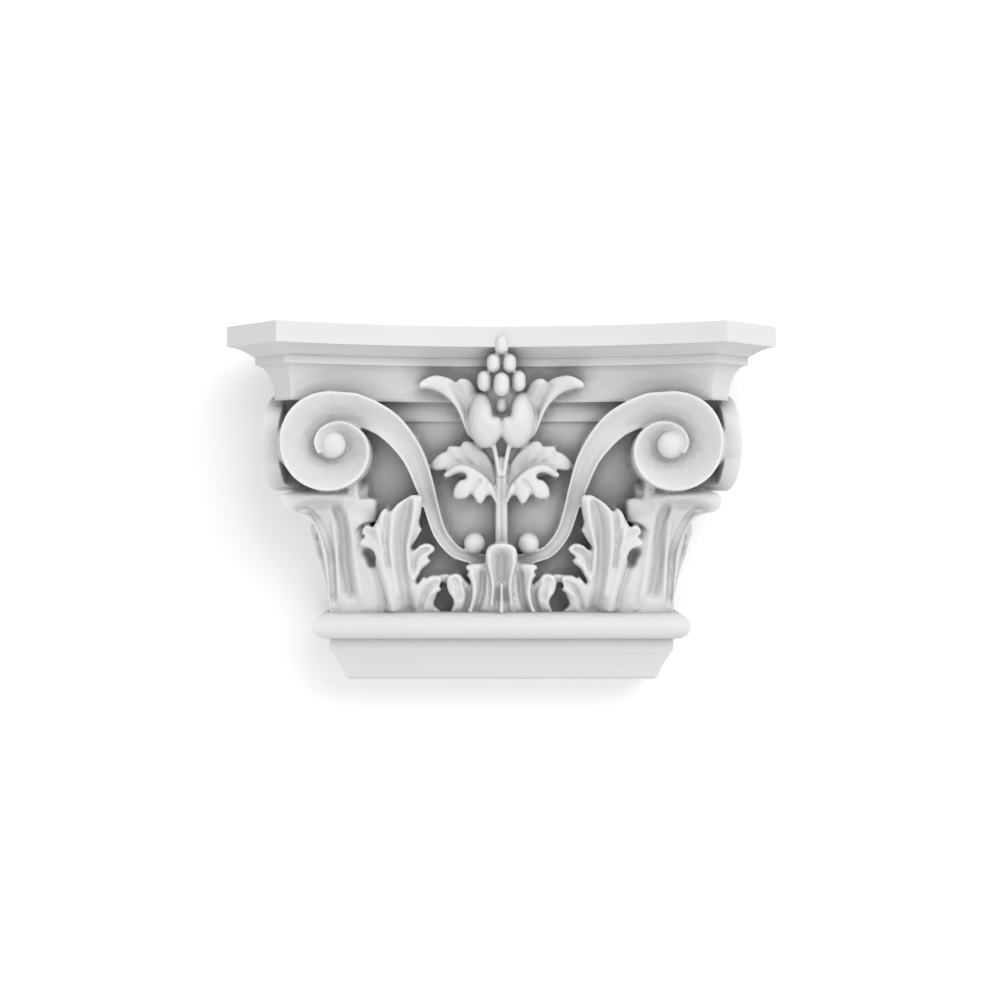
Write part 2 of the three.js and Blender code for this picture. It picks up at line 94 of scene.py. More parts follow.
@dataclass(frozen=True)
class Block:
    """Driving sizes of the capital, in millimetres.

    The overall sizes come from the frame. The others are the heights of the mouldings, from the top
    down, and how far each one steps in.
    """

    width: float
    reach: float
    height: float
    corner_cut: float = 36.0
    hollow: float = 33.6
    neck_half: float = 110.0
    fascia: float = 12.6
    drip: float = 6.3
    fillet: float = 4.8
    cavetto: float = 22.0
    lip: float = 12.0
    astragal: float = 17.2
    neck: float = 7.0
    base: float = 20.0
    drip_inset: float = 14.0
    cavetto_inset: float = 10.0
    base_inset: float = 11.5
    lip_step: float = 3.0
    bell_sink: float = 17.5
    astragal_standing: float = 10.2

    @classmethod
    def from_box(cls, low: Sequence[float], high: Sequence[float]) -> "Block":
        """Reads the overall sizes from a box in metres.

        Args:
            low: The box's lowest corner.
            high: The box's highest corner.

        Returns:
            The block that fills the box.
        """
        size = [(b - a) / METRES for a, b in zip(low, high)]
        return cls(width=size[0], reach=size[1], height=size[2])

    @property
    def tip(self) -> float:
        """How far the abacus' corner lies from the middle line."""
        return self.width / 2

    @property
    def diagonal(self) -> float:
        """How much farther across than forward every point of the corner's diagonal lies."""
        return self.tip - self.reach

    @property
    def neck_reach(self) -> float:
        """How far the neck's face stands out from the wall."""
        return self.neck_half - self.diagonal

    @property
    def bell_foot(self) -> float:
        """Height of the bell's foot, on top of the astragal."""
        return self.base + self.neck + self.astragal

    @property
    def fascia_foot(self) -> float:
        """Height of the foot of the abacus' plain face."""
        return self.height - self.fascia

    @property
    def drip_foot(self) -> float:
        """Height at which the sloping underside ends."""
        return self.fascia_foot - self.drip

    @property
    def fillet_foot(self) -> float:
        """Height of the foot of the small fillet."""
        return self.drip_foot - self.fillet

    @property
    def abacus_foot(self) -> float:
        """Height of the abacus' flat underside."""
        return self.fillet_foot - self.cavetto

    @property
    def lip_foot(self) -> float:
        """Height of the foot of the bell's lip."""
        return self.abacus_foot - self.lip

    def put(self, points: np.ndarray, place: Place) -> np.ndarray:
        """Puts drawn points at one of the four places.

        Args:
            points: Points as across, height and reach, in millimetres.
            place: Where the shape goes.

        Returns:
            The points in the frame, in metres.
        """
        across, height, reach = points[..., 0], points[..., 1], points[..., 2]
        if place in (Place.LEFT, Place.RIGHT):
            x, y = across, -reach
        else:
            x, y = reach + self.diagonal, self.diagonal - across
        if place in (Place.LEFT, Place.LEFT_SIDE):
            x = -x
        return np.stack([x, y, height - self.height / 2], axis=-1) * METRES


@dataclass
class Shell:
    """A closed surface with its faces pointing out."""

    points: np.ndarray
    faces: list[tuple[int, ...]]

    def volume(self) -> float:
        """Signed volume, which is negative for a shell that is inside out."""
        fans = np.array([(f[0], f[k], f[k + 1]) for f in self.faces for k in range(1, len(f) - 1)])
        first, second, third = (self.points[fans[:, k]] for k in range(3))
        return float(np.einsum("ij,ij->", first, np.cross(second, third))) / 6

    def outward(self) -> "Shell":
        """The same shell with its faces pointing out."""
        if self.volume() < 0:
            return Shell(self.points, [face[::-1] for face in self.faces])
        return self


def loft(rings: np.ndarray, open_plan: bool = False) -> Shell:
    """Joins closed rings of points into a shell with a fan over each end.

    Args:
        rings: An array of rings, each with the same count of points.
        open_plan: Whether the fans spread from between the first and last point of their ring, as
            suits a plan that starts and ends at the wall, instead of from the ring's middle.

    Returns:
        The closed shell.
    """
    rows, count = rings.shape[:2]
    ends = rings[[0, -1]]
    hubs = (ends[:, 0] + ends[:, -1]) / 2 if open_plan else ends.mean(axis=1)
    points = np.concatenate([rings.reshape(-1, 3), hubs])
    low, high = rows * count, rows * count + 1
    faces: list[tuple[int, ...]] = []
    for i in range(count):
        after = (i + 1) % count
        for row in range(rows - 1):
            at = row * count
            faces.append((at + i, at + after, at + count + after, at + count + i))
        faces.append((low, after, i))
        faces.append((high, (rows - 1) * count + i, (rows - 1) * count + after))
    return Shell(points, faces)


def smooth(rows: Sequence[Row], shares: np.ndarray) -> np.ndarray:
    """Reads a smooth line through rows of numbers.

    Args:
        rows: The rows that the line passes through.
        shares: Where to read it, from 0 at the first row to 1 at the last.

    Returns:
        One row of numbers for each share.
    """
    table = np.asarray(rows, dtype=float)
    table = np.vstack([2 * table[0] - table[1], table, 2 * table[-1] - table[-2]])
    place = np.clip(shares, 0, 1) * (len(rows) - 1)
    low = np.minimum(place.astype(int), len(rows) - 2)
    s = (place - low)[:, None]
    a, b, c, d = (table[low + k] for k in range(4))
    cubic = (c - a) * s + (2 * a - 5 * b + 4 * c - d) * s**2 + (3 * b - a - 3 * c + d) * s**3
    return b + cubic / 2


def ease(value: float, start: float, end: float) -> float:
    """Rises smoothly from 0, up to the start, to 1, from the end on."""
    s = min(max((value - start) / (end - start), 0.0), 1.0)
    return s * s * (3 - 2 * s)


def sheet(known: Sequence[Row], spots: np.ndarray) -> np.ndarray:
    """Reads a smooth sheet that passes through known points.

    Args:
        known: Points as across, height and reach.
        spots: Where to read it, as across and height.

    Returns:
        The sheet's reach at each spot.
    """
    table = np.asarray(known, dtype=float)
    flat, reach = table[:, :2], table[:, 2]

    def bend(here: np.ndarray) -> np.ndarray:
        """Bending terms of a thin plate, from each known point."""
        gap = np.linalg.norm(here[:, None, :] - flat[None], axis=2) + 1e-9
        return gap**2 * np.log(gap)

    level = np.column_stack([np.ones(len(table)), flat])
    system = np.block([[bend(flat), level], [level.T, np.zeros((3, 3))]])
    weights = np.linalg.solve(system, np.concatenate([reach, np.zeros(3)]))
    return bend(spots) @ weights[:-3] + np.column_stack([np.ones(len(spots)), spots]) @ weights[-3:]


@dataclass(frozen=True)
class Line:
    """A ridge, or a groove where its rise is negative, that runs over a leaf."""

    points: Sequence[Row]
    rise: float
    width: float

    def lift(self, spots: np.ndarray) -> np.ndarray:
        """How far the line lifts the face at each spot, given as across and height."""
        path = smooth(self.points, np.linspace(0, 1, 10 * len(self.points)))
        gaps = np.linalg.norm(spots[:, None, :] - path[None, :, :2], axis=2).min(axis=1)
        return self.rise * np.exp(-((gaps / self.width) ** 2))

    def mirrored(self) -> "Line":
        """The same line on the other half of a leaf that lies on the middle line."""
        return Line([(-across, height) for across, height in self.points], self.rise, self.width)


@dataclass(frozen=True)
class Leaf:
    """A leaf cut to an outline, with a rounded edge, a bent face, and ridges and grooves over it.

    The outline is across and height, and the face is across, height and reach. A whole leaf is drawn
    as its left half, from the tip on the middle line down to the foot. grain is how far apart the
    points on the face lie, and border_grain how far apart those on the outline do, as a share of it.
    """

    outline: Sequence[Row]
    face: Sequence[Row]
    lines: Sequence[Line] = ()
    edge: float = 2.2
    grain: float = 1.0
    border_grain: float = 0.7
    whole: bool = False
    places: tuple[Place, ...] = FRONT

    def border(self) -> np.ndarray:
        """The outline as a smooth closed line of evenly spread points."""
        points = [tuple(point) for point in self.outline]
        if self.whole:
            points += [(-across, height) for across, height in points[:0:-1]]
        closed = [points[-1], *points, points[0], points[1]]
        ends = 1 / (len(closed) - 1), 1 - 1 / (len(closed) - 1)
        line = smooth(closed, np.linspace(*ends, 24 * len(points)))
        run = np.concatenate([[0], np.cumsum(np.linalg.norm(np.diff(line, axis=0), axis=1))])
        stops = np.linspace(0, run[-1], int(run[-1] / self.grain / self.border_grain) + 1)[:-1]
        return np.column_stack([np.interp(stops, run, line[:, k]) for k in range(2)])

    def inside(self, border: np.ndarray) -> np.ndarray:
        """Finds the grid points that lie inside the border and off its edge.

        Args:
            border: The leaf's border, as across and height.

        Returns:
            The points, as across and height.
        """
        low, high = border.min(axis=0), border.max(axis=0)
        across, height = np.meshgrid(*(np.arange(low[k], high[k], self.grain) for k in range(2)))
        spots = np.column_stack([across.ravel(), height.ravel()])
        first, second = border[None], np.roll(border, -1, axis=0)[None]
        spans = (first[..., 1] > spots[:, None, 1]) != (second[..., 1] > spots[:, None, 1])
        rise = second[..., 1] - first[..., 1]
        rise = np.where(rise == 0, 1e-9, rise)
        run = second[..., 0] - first[..., 0]
        meets = first[..., 0] + (spots[:, None, 1] - first[..., 1]) * run / rise
        within = (spans & (spots[:, None, 0] < meets)).sum(axis=1) % 2 == 1
        spots = spots[within]
        gaps = np.linalg.norm(spots[:, None] - border[None], axis=2).min(axis=1)
        return spots[gaps > 0.5 * self.grain]

    def relief(self, spots: np.ndarray, border: np.ndarray) -> np.ndarray:
        """Works out how far the leaf's face stands out.

        Args:
            spots: Where to read it, as across and height.
            border: The leaf's border, towards which the face falls back.

        Returns:
            The face's reach at each spot.
        """
        mirrored = [(-a, h, r) for a, h, r in self.face if a > 0] if self.whole else []
        lines = [*self.lines, *(line.mirrored() for line in self.lines if self.whole)]
        reach = sheet([*self.face, *mirrored], spots)
        reach += sum((line.lift(spots) for line in lines), np.zeros(len(spots)))
        gaps = np.linalg.norm(spots[:, None] - border[None], axis=2).min(axis=1)
        share = 1 - np.clip(gaps / self.edge, 0, 1)
        return reach - self.edge * (1 - np.sqrt(1 - share**2))

    def shells(self, block: Block) -> list[Shell]:
        """Makes the leaf at each of its places.

        Args:
            block: The capital's sizes.

        Returns:
            One closed shell for each place.
        """
        border = self.border()
        flat = np.concatenate([border, self.inside(border)])
        ring = [(k, (k + 1) % len(border)) for k in range(len(border))]
        cut = delaunay_2d_cdt([Vector(spot) for spot in flat], ring, [], 1, 1e-6)
        spots = np.array([tuple(spot) for spot in cut[0]])
        front = np.column_stack([spots, self.relief(spots, border)])
        back = front.copy()
        back[:, 2] = ROOT
        count = len(spots)
        faces = [tuple(face) for face in cut[2]]
        sides = {(face[k], face[(k + 1) % 3]) for face in faces for k in range(3)}
        rim = [(b, a, a + count, b + count) for a, b in sides if (b, a) not in sides]
        rear = [tuple(i + count for i in reversed(face)) for face in faces]
        drawn = np.concatenate([front, back])
        closed = faces + rear + sorted(rim)
        return [Shell(block.put(drawn, place), closed).outward() for place in self.places]


@dataclass(frozen=True)
class Lobe:
    """A crowned blade along a line of across, height, reach and half width.

    crown is how far its edges fall back and vein how deep its middle groove is. Both are shares of the
    half width, and so are vein_width, tip_length and tip_fall, which round off the blade's end.
    """

    rows: Sequence[Row]
    crown: float = 0.5
    crown_power: float = 2.2
    vein: float = 0.12
    vein_width: float = 0.16
    tip_length: float = 0.8
    tip_fall: float = 0.5
    places: tuple[Place, ...] = FRONT
    steps: int = 22
    tip_steps: int = 6
    sides: int = 8

    def ring(self, row: np.ndarray, run: np.ndarray, half: float) -> np.ndarray:
        """One ring of the blade.

        Args:
            row: Across, height and reach of the ring's middle.
            run: The line's direction there, in across and height.
            half: The blade's half width there.

        Returns:
            The ring's points, round the face and then the root.
        """
        t = np.linspace(-1, 1, 2 * self.sides + 1)
        groove = self.vein * np.exp(-((t / self.vein_width) ** 2))
        fall = self.crown * np.abs(t) ** self.crown_power + groove
        across = row[0] - run[1] * half * t
        height = row[1] + run[0] * half * t
        face = np.stack([across, height, row[2] - fall * half], axis=-1)
        root = face[[-1, 0]].copy()
        root[:, 2] = ROOT
        return np.concatenate([face, root])

    def shells(self, block: Block) -> list[Shell]:
        """Makes the blade at each of its places.

        Args:
            block: The capital's sizes.

        Returns:
            One closed shell for each place.
        """
        shares = np.linspace(0, 1, self.steps + 1)
        line = smooth(self.rows, shares)
        near = 0.01
        ahead = smooth(self.rows, shares + near)
        behind = smooth(self.rows, shares - near)
        runs = (ahead - behind)[:, :2]
        runs /= np.linalg.norm(runs, axis=1, keepdims=True)
        rings = [self.ring(row, run, row[3]) for row, run in zip(line, runs)]
        end, run = line[-1], runs[-1]
        for k in range(1, self.tip_steps):
            turn = math.pi / 2 * k / (self.tip_steps - 0.6)
            middle = end[:3].copy()
            middle[:2] += run * end[3] * math.sin(turn) * self.tip_length
            middle[2] -= end[3] * (1 - math.cos(turn)) * self.tip_fall
            rings.append(self.ring(middle, run, end[3] * math.cos(turn)))
        drawn = np.array(rings)
        return [loft(block.put(drawn, place)).outward() for place in self.places]


@dataclass(frozen=True)
class Volute:
    """The scroll at a corner with the stem that runs over into it.

    stem lists the stem's outer and inner edge and the reach of its rims. spiral holds the outline as
    shares of the radius, at each eighth of a turn from the top. The scroll is made of an upper and a
    lower coil, between the turns given. Both channels get shallower where the ribbon is narrower than
    its full width. flat_edges are the shares of the ribbon's width that stay flat beside the stem's
    channel and the volute's, channel_powers shape the two, and rim_width is a share too. core is half
    the size of the block in the corner, outward, along and up, as shares of the radius.
    """

    eye: Row = (105.5, 150.5, 80.0)
    diagonal: float = 64.3
    radius: float = 33.0
    channel: float = 9.5
    plate: float = 11.0
    split: float = 1.4
    splay: float = 0.2
    full_width: float = 17.0
    stem_channel: float = 4.2
    stem_full_width: float = 11.0
    flat_edges: Row = (0.07, 0.06)
    channel_powers: Row = (0.7, 1.7)
    rolled_from: float = 0.55
    rim: float = 0.5
    rim_width: float = 0.03
    inner_edge: float = 0.92
    upper_turns: Row = (0.004, 0.52)
    lower_turns: Row = (0.48, 1.36)
    freed: Row = (0.02, 0.1)
    rooted: Row = (0.4, 0.5)
    eye_radius: float = 9.0
    eye_dome: float = 6.6
    eye_standing: float = 1.5
    curl: Row = (17.4, 88.0, 46.5)
    curl_radius: float = 6.8
    curl_dome: float = 0.8
    core: Row = (0.79, 0.36, 0.67)
    core_across: float = 120.0
    core_rise: float = 0.5
    spiral: Row = (1, 0.99, 0.94, 0.92, 0.87, 0.8, 0.69, 0.54, 0.41, 0.345, 0.31, 0.28, 0.25)
    stem: Sequence[Row] = (
        (10, 80.5, 10.5, 73, 41),
        (20, 82.5, 23, 76, 42),
        (28.5, 87, 33.5, 80.5, 43),
        (36, 97.5, 43.5, 93, 46),
        (40.5, 113.5, 50, 111.5, 50),
        (43.5, 127.5, 55, 124.5, 55),
        (48, 143, 61, 138.5, 61),
        (55.5, 157.5, 69, 149, 67),
        (65.5, 169.5, 77.5, 156.5, 72),
        (78, 177.5, 86, 160.5, 75.5),
        (90.5, 182.5, 93.5, 163, 77.5),
    )

    def outline(self, turn: float) -> float:
        """Radius of the scroll's outer edge after a share of a turn from the top."""
        share = np.array([min(turn * 8, len(self.spiral) - 1) / (len(self.spiral) - 1)])
        return self.radius * float(smooth([(s,) for s in self.spiral], share)[0, 0])

    def ring(
        self, outer: Row, inner: Row, reach: float, free: float, rolled: float, splay: float
    ) -> np.ndarray:
        """One ring of the ribbon.

        Args:
            outer: Across and height of the outer edge.
            inner: Across and height of the inner edge.
            reach: How far the outer rim stands out.
            free: 0 where the ribbon is rooted to 1 where it is a plate that stands free.
            rolled: 0 for the stem's channel to 1 for the volute's, which falls to its inner edge.
            splay: How much farther out the face stands for each millimetre across.

        Returns:
            The ring's points, round the face and then the back.
        """
        share = np.linspace(0, 1, 25)
        beside, before = self.flat_edges
        stem_power, volute_power = self.channel_powers
        inside = np.clip((share - beside) / (1 - 2 * beside), 0, 1)
        stem = np.sin(inside * math.pi) ** stem_power
        volute = 1 - (1 - np.clip((share - before) / (1 - before), 0, 1)) ** volute_power
        outer_rim = self.rim * np.exp(-((share / self.rim_width) ** 2))
        inner_rim = self.rim * np.exp(-(((1 - share) / self.rim_width) ** 2)) * (1 - rolled)
        width = math.hypot(outer[0] - inner[0], outer[1] - inner[1])
        hollow = self.channel * volute * rolled * min(width / self.full_width, 1)
        narrow = min(width / self.stem_full_width, 1)
        depth = self.stem_channel * stem * (1 - rolled) * narrow + hollow + (outer_rim + inner_rim)
        across = outer[0] + (inner[0] - outer[0]) * share
        height = outer[1] + (inner[1] - outer[1]) * share
        face = np.stack([across, height, reach - depth + splay * across], axis=-1)
        root = face[[-1, 0]].copy()
        plate = reach + splay * root[:, 0] - self.plate
        back = ROOT + (plate - ROOT) * free
        root[:, 2] = np.maximum(back, root[:, 0] - self.diagonal + self.split)
        return np.concatenate([face, root])

    def coil(self, turns: Row, steps: int) -> list[np.ndarray]:
        """Makes a part of the scroll.

        Args:
            turns: Where it starts and ends, as shares of a turn from the top.
            steps: How many rings it has.

        Returns:
            The part's rings.
        """
        rings = []
        reach = self.eye[2] - self.splay * self.eye[0]
        for turn in np.linspace(*turns, steps):
            angle = math.pi / 2 + turn * 2 * math.pi
            edges = [self.outline(turn), min(self.outline(turn + 1), self.outline(turn)) * self.inner_edge]
            outer, inner = (
                (self.eye[0] - r * math.cos(angle), self.eye[1] + r * math.sin(angle)) for r in edges
            )
            free = ease(turn, *self.freed) * (1 - ease(turn, *self.rooted))
            rings.append(self.ring(outer, inner, reach, free, 1.0, self.splay))
        return rings

    def stalk(self, steps: int) -> list[np.ndarray]:
        """Rings of the stem from its foot to the top of the scroll."""
        shares = np.linspace(0, 1, steps)
        line = smooth(self.stem, shares)
        return [
            self.ring(row[:2], row[2:4], row[4], 0.0, ease(s, self.rolled_from, 1), 0.0)
            for s, row in zip(shares, line)
        ]

    def stud(self, middle: Row, radius: float, dome: float) -> np.ndarray:
        """Makes a round stud with a domed head.

        Args:
            middle: Across, height and reach of the head's top.
            radius: The stud's radius.
            dome: How far the head is domed.

        Returns:
            The stud's rings, from its hidden root to the top.
        """
        around = np.linspace(0, 2 * math.pi, 33)[:-1]
        rings = []
        sizes = [(radius, ROOT)]
        sizes += [
            (radius * math.cos(t), middle[2] - dome * (1 - math.sin(t)))
            for t in np.linspace(0, math.pi / 2 * 0.97, 10)
        ]
        for size, reach in sizes:
            across = middle[0] + size * np.cos(around)
            height = middle[1] + size * np.sin(around)
            rings.append(np.stack([across, height, np.full_like(across, reach)], axis=-1))
        return np.array(rings)

    def shells(self, block: Block) -> list[Shell]:
        """Makes the four volutes with their stems, eyes, curled feet and the blocks between them.

        Args:
            block: The capital's sizes.

        Returns:
            The closed shells.
        """
        eye = (self.eye[0], self.eye[1], self.eye[2] + self.eye_standing)
        drawn = [
            np.array(self.stalk(60) + self.coil(self.upper_turns, 46)),
            np.array(self.coil(self.lower_turns, 80)),
            self.stud(eye, self.eye_radius, self.eye_dome),
        ]
        made = [loft(block.put(rings, place)).outward() for rings in drawn for place in ROUND]
        foot = self.stud(self.curl, self.curl_radius, self.curl_radius * self.curl_dome)
        made += [loft(block.put(foot, place)).outward() for place in FRONT]
        return made + [self.corner_block(block, place) for place in FRONT]

    def corner_block(self, block: Block, place: Place) -> Shell:
        """Makes the rounded block that fills the corner between the front volute and the side one.

        Args:
            block: The capital's sizes.
            place: The front's left or right.

        Returns:
            The closed shell.
        """
        rings = []
        outward, sideways, upward = (self.radius * share for share in self.core)
        for tilt in np.linspace(-math.pi / 2, math.pi / 2, 26)[1:-1]:
            turn = np.linspace(0, 2 * math.pi, 37)[:-1]
            out = outward * math.cos(tilt) * np.cos(turn)
            along = sideways * math.cos(tilt) * np.sin(turn)
            up = np.full_like(turn, upward * math.sin(tilt) + self.eye[1] + self.core_rise)
            across = self.core_across + (out - along) * math.sqrt(0.5)
            reach = self.core_across - block.diagonal + (out + along) * math.sqrt(0.5)
            rings.append(np.stack([across, up, reach], axis=-1))
        return loft(block.put(np.array(rings), place)).outward()


@dataclass(frozen=True)
class CornerLeaf:
    """The leaf that carries a volute.

    Each row goes from the middle rib, on the corner's diagonal, to the leaf's inner edge. It starts
    with the rib's height and reach and the height of the rest, and then gives across and reach. The
    flutes fade towards the rib, over rib_fade, and towards the leaf's foot, between two heights.
    """

    rows: Sequence[Row] = (
        (42, 46, 42, 106, 45.5, 102, 46, 97.5, 46.5, 90, 46.5, 80, 46, 66, 43),
        (58, 47, 58, 105, 46, 100.5, 47, 97.5, 47.5, 91, 48, 81, 48, 68, 44),
        (74.5, 48.5, 74.5, 106.5, 47, 102, 48, 99.5, 49, 93.5, 50, 84, 51, 72, 45),
        (90.5, 51.5, 90.5, 108.5, 49, 103.5, 50.5, 101, 51.5, 95, 53.5, 88, 53.5, 80, 45),
        (101, 56, 101.5, 111, 52.5, 106, 54, 103, 54.5, 97.5, 56.5, 90, 52, 84, 44),
        (106, 61.5, 107.5, 114, 57, 107.5, 57, 105, 56, 99, 59, 90.5, 53, 86, 44),
        (108.5, 69, 113, 117, 63.5, 108.5, 63, 104.5, 61, 98, 62, 90.5, 56, 86, 46),
        (112.5, 72.5, 117, 118.5, 70, 109.5, 68, 104, 65.5, 97, 64, 90.5, 58, 86, 47),
        (119, 72.5, 121, 119, 68.5, 109.5, 66, 103.5, 64, 97, 62, 90.5, 56, 86, 46),
        (122, 66, 123.5, 118, 60, 110, 57, 104, 55, 98, 54, 91, 50, 86, 44),
        (127, 54, 127, 114, 50, 108, 48, 103, 46, 97, 45, 91, 42, 87, 38),
    )
    flutes: Sequence[Line] = (
        Line(
            (
                (124.3, 111.3), (119.4, 113), (112.6, 113.4), (106.9, 112.7), (103.3, 109.4), (101.3, 103.2),
                (100.3, 94.8), (100.2, 85.2), (100.2, 77.6), (99.2, 70), (98.4, 63), (97.3, 56),
            ),
            -4.6,
            3.4,
        ),
        Line(
            (
                (127, 110.5), (122, 109.5), (118.5, 106), (115.5, 100), (113, 94), (110.6, 87), (109.2, 80),
                (108.8, 72), (108.4, 63), (108, 50),
            ),
            -3.6,
            1.8,
        ),
        Line(((107.4, 100), (105.8, 88), (105, 76), (104.4, 62), (103.8, 50)), 1.6, 1.5),
        Line(((95.5, 103), (94.8, 92), (93.4, 78), (91.2, 64), (89, 50)), 1.6, 2.4),
        Line(((85.2, 82.4), (83.4, 79.5), (82.6, 76.4)), -8.5, 2.5),
        Line(((88.5, 72), (86, 60), (84, 48)), -0.9, 3.0),
    )
    posts: Sequence[Sequence[Row]] = (
        ((93, 86, 48, 4), (93.5, 106, 56, 5), (94.5, 119, 62, 4.5), (94.5, 128, 63, 3.4)),
    )
    frills: Sequence[Leaf] = (
        Leaf(
            outline=(
                (90.6, 117.1), (85.6, 117.2), (81.6, 116.6), (79.7, 114.2), (79.4, 110.4), (79.7, 105.3),
                (80.8, 102.2), (83.6, 101.3), (86.8, 100.6), (90, 98.6), (93.1, 95.1), (97.7, 101.4),
                (98.9, 113.3), (96, 117.6),
            ),
            face=(
                (96, 112, 60), (88, 114, 59.5), (81, 114, 57.5), (81, 105, 56), (88, 103, 57.5),
                (94, 98, 56),
            ),
            lines=(Line(((93, 110), (86, 107), (81, 104)), -1.2, 3),),
            places=ROUND,
        ),
    )
    rib_clear: float = 0.5
    rib_fade: float = 2.0
    foot_fade: Row = (44.0, 60.0)
    steps: int = 90
    columns: int = 60

    def shells(self, block: Block) -> list[Shell]:
        """Makes the four half leaves, with the post and the frill on their inner edges.

        Args:
            block: The capital's sizes.

        Returns:
            The closed shells.
        """
        rings = []
        for row in smooth(self.rows, np.linspace(0, 1, self.steps + 1)):
            rib_height, rib_reach, height = row[:3]
            columns = [(rib_reach + block.diagonal, rib_height, rib_reach)]
            columns += [(row[k], height, row[k + 1]) for k in range(3, len(row), 2)]
            face = smooth(columns, np.linspace(0, 1, self.columns + 1))
            from_rib = np.clip((face[0, 0] - face[:, 0] - self.rib_clear) / self.rib_fade, 0, 1)
            relief = sum(line.lift(face[:, :2]) for line in self.flutes)
            face[:, 2] += relief * from_rib * ease(rib_height, *self.foot_fade)
            root = face[[-1, 0]].copy()
            root[:, 2] = ROOT
            root[1, 0] = ROOT + block.diagonal
            rings.append(np.concatenate([face, root]))
        drawn = np.array(rings)
        made = [loft(block.put(drawn, place)).outward() for place in ROUND]
        for post in self.posts:
            made += Lobe(post, places=ROUND).shells(block)
        for frill in self.frills:
            made += frill.shells(block)
        return made


@dataclass(frozen=True)
class SideLeaf:
    """The broad toothed leaf that curls out beside a corner leaf, and runs on round the side."""

    leaf: Leaf = Leaf(
        outline=(
            (50.4, 118), (50.8, 113), (51.6, 107), (52.8, 102.4), (52, 98.8), (51.2, 97), (52.6, 94.5),
            (54.3, 91.3), (56.1, 88.4), (57.6, 86), (57.2, 84.4), (55.1, 84.5), (52.3, 86.9), (48.8, 88.1),
            (45.5, 87.5), (43, 85.2), (43.5, 83.1), (45.9, 81), (47.4, 79.3), (45.8, 77.1), (47.2, 74.8),
            (49.4, 73.1), (51.4, 71), (52.9, 67.9), (54.6, 64.8), (54.4, 62), (52.4, 64.2), (50, 66.7),
            (48.4, 66), (45.5, 67.5), (40, 67.5), (38.2, 66), (38.4, 64.2), (39.4, 62), (39.6, 60.2),
            (38.6, 58.4), (41.2, 56.2), (42.2, 53.2), (43.4, 50.6), (43.1, 47.8), (41.5, 43), (71.9, 43),
            (74.4, 52.7), (77.9, 64.1), (80.4, 75.5), (79.8, 78.6), (80.4, 81.4), (81.8, 84.1), (84.6, 85.5),
            (88.4, 86.4), (89.9, 89.1), (88.4, 91.3), (86.6, 92.9), (88, 94.5), (88.3, 96.7), (87, 99.1),
            (84.6, 100.1), (81.7, 98.8), (79.9, 101.2), (78.2, 103.9), (76.6, 107.2), (74.9, 109.4),
            (73, 110.8), (70.9, 108.7), (68.3, 110.5), (65.9, 113.3), (63.1, 115.4), (59.9, 117.4),
            (57.6, 118.7), (54.9, 119.1),
        ),
        face=(
            (72, 44, 46), (60, 44, 45), (48, 44, 45), (78, 60, 48), (66, 60, 51), (54, 60, 49),
            (42, 50, 45), (40, 64, 49), (48, 65, 49), (80, 76, 53), (66, 78, 55), (56, 76, 51),
            (45, 85, 50), (53, 84, 51.5), (89, 88, 58), (78, 92, 59), (66, 94, 58), (58, 92, 56),
            (86, 98, 59), (76, 106, 60.5), (66, 108, 60.5), (58, 108, 59.5), (54, 102, 58),
            (60, 116, 61), (53, 117, 60),
        ),
        lines=(
            Line(((75, 108), (77.4, 97), (77.6, 86), (75.6, 73), (72.4, 60), (69.2, 46)), 3.0, 3.4),
            Line(((59.4, 114), (62, 103), (63.5, 90.6), (63.8, 76.6), (62.2, 62), (59.4, 46)), -3.8, 3.4),
            Line(((67.6, 113), (69.2, 100), (69.8, 86), (68.6, 72), (66, 56)), 1.8, 1.8),
            Line(((72.4, 108), (73.2, 98), (73.2, 86), (71.8, 74)), -1.5, 1.2),
            Line(((54.9, 115), (55.6, 104.6), (57.9, 94), (59.4, 85), (58.7, 74.7), (56.5, 66)), 2.2, 1.7),
            Line(((52.4, 98), (56.6, 88), (57.6, 80)), -1.6, 1.3),
            Line(((46.9, 84.7), (52.6, 82.2), (56.1, 76.4), (57.1, 69.4)), -2.2, 1.5),
            Line(((47, 78), (51.6, 74.6), (54.2, 69)), 1.2, 1.4),
            Line(((41.5, 63), (47.5, 58.5), (51.5, 46)), -2.2, 1.8),
            Line(((44, 57), (48, 53), (50, 45)), 1.0, 1.4),
            Line(((86, 97), (80, 93), (77.5, 84)), -1.8, 1.5),
            Line(((80, 104), (76, 98), (74.6, 88)), -1.4, 1.2),
            Line(((88, 88), (83, 86), (79, 78)), 1.0, 1.8),
        ),
        edge=1.9,
        places=ROUND,
    )

    def shells(self, block: Block) -> list[Shell]:
        """Makes the leaf on both halves of the front and on both sides."""
        return self.leaf.shells(block)


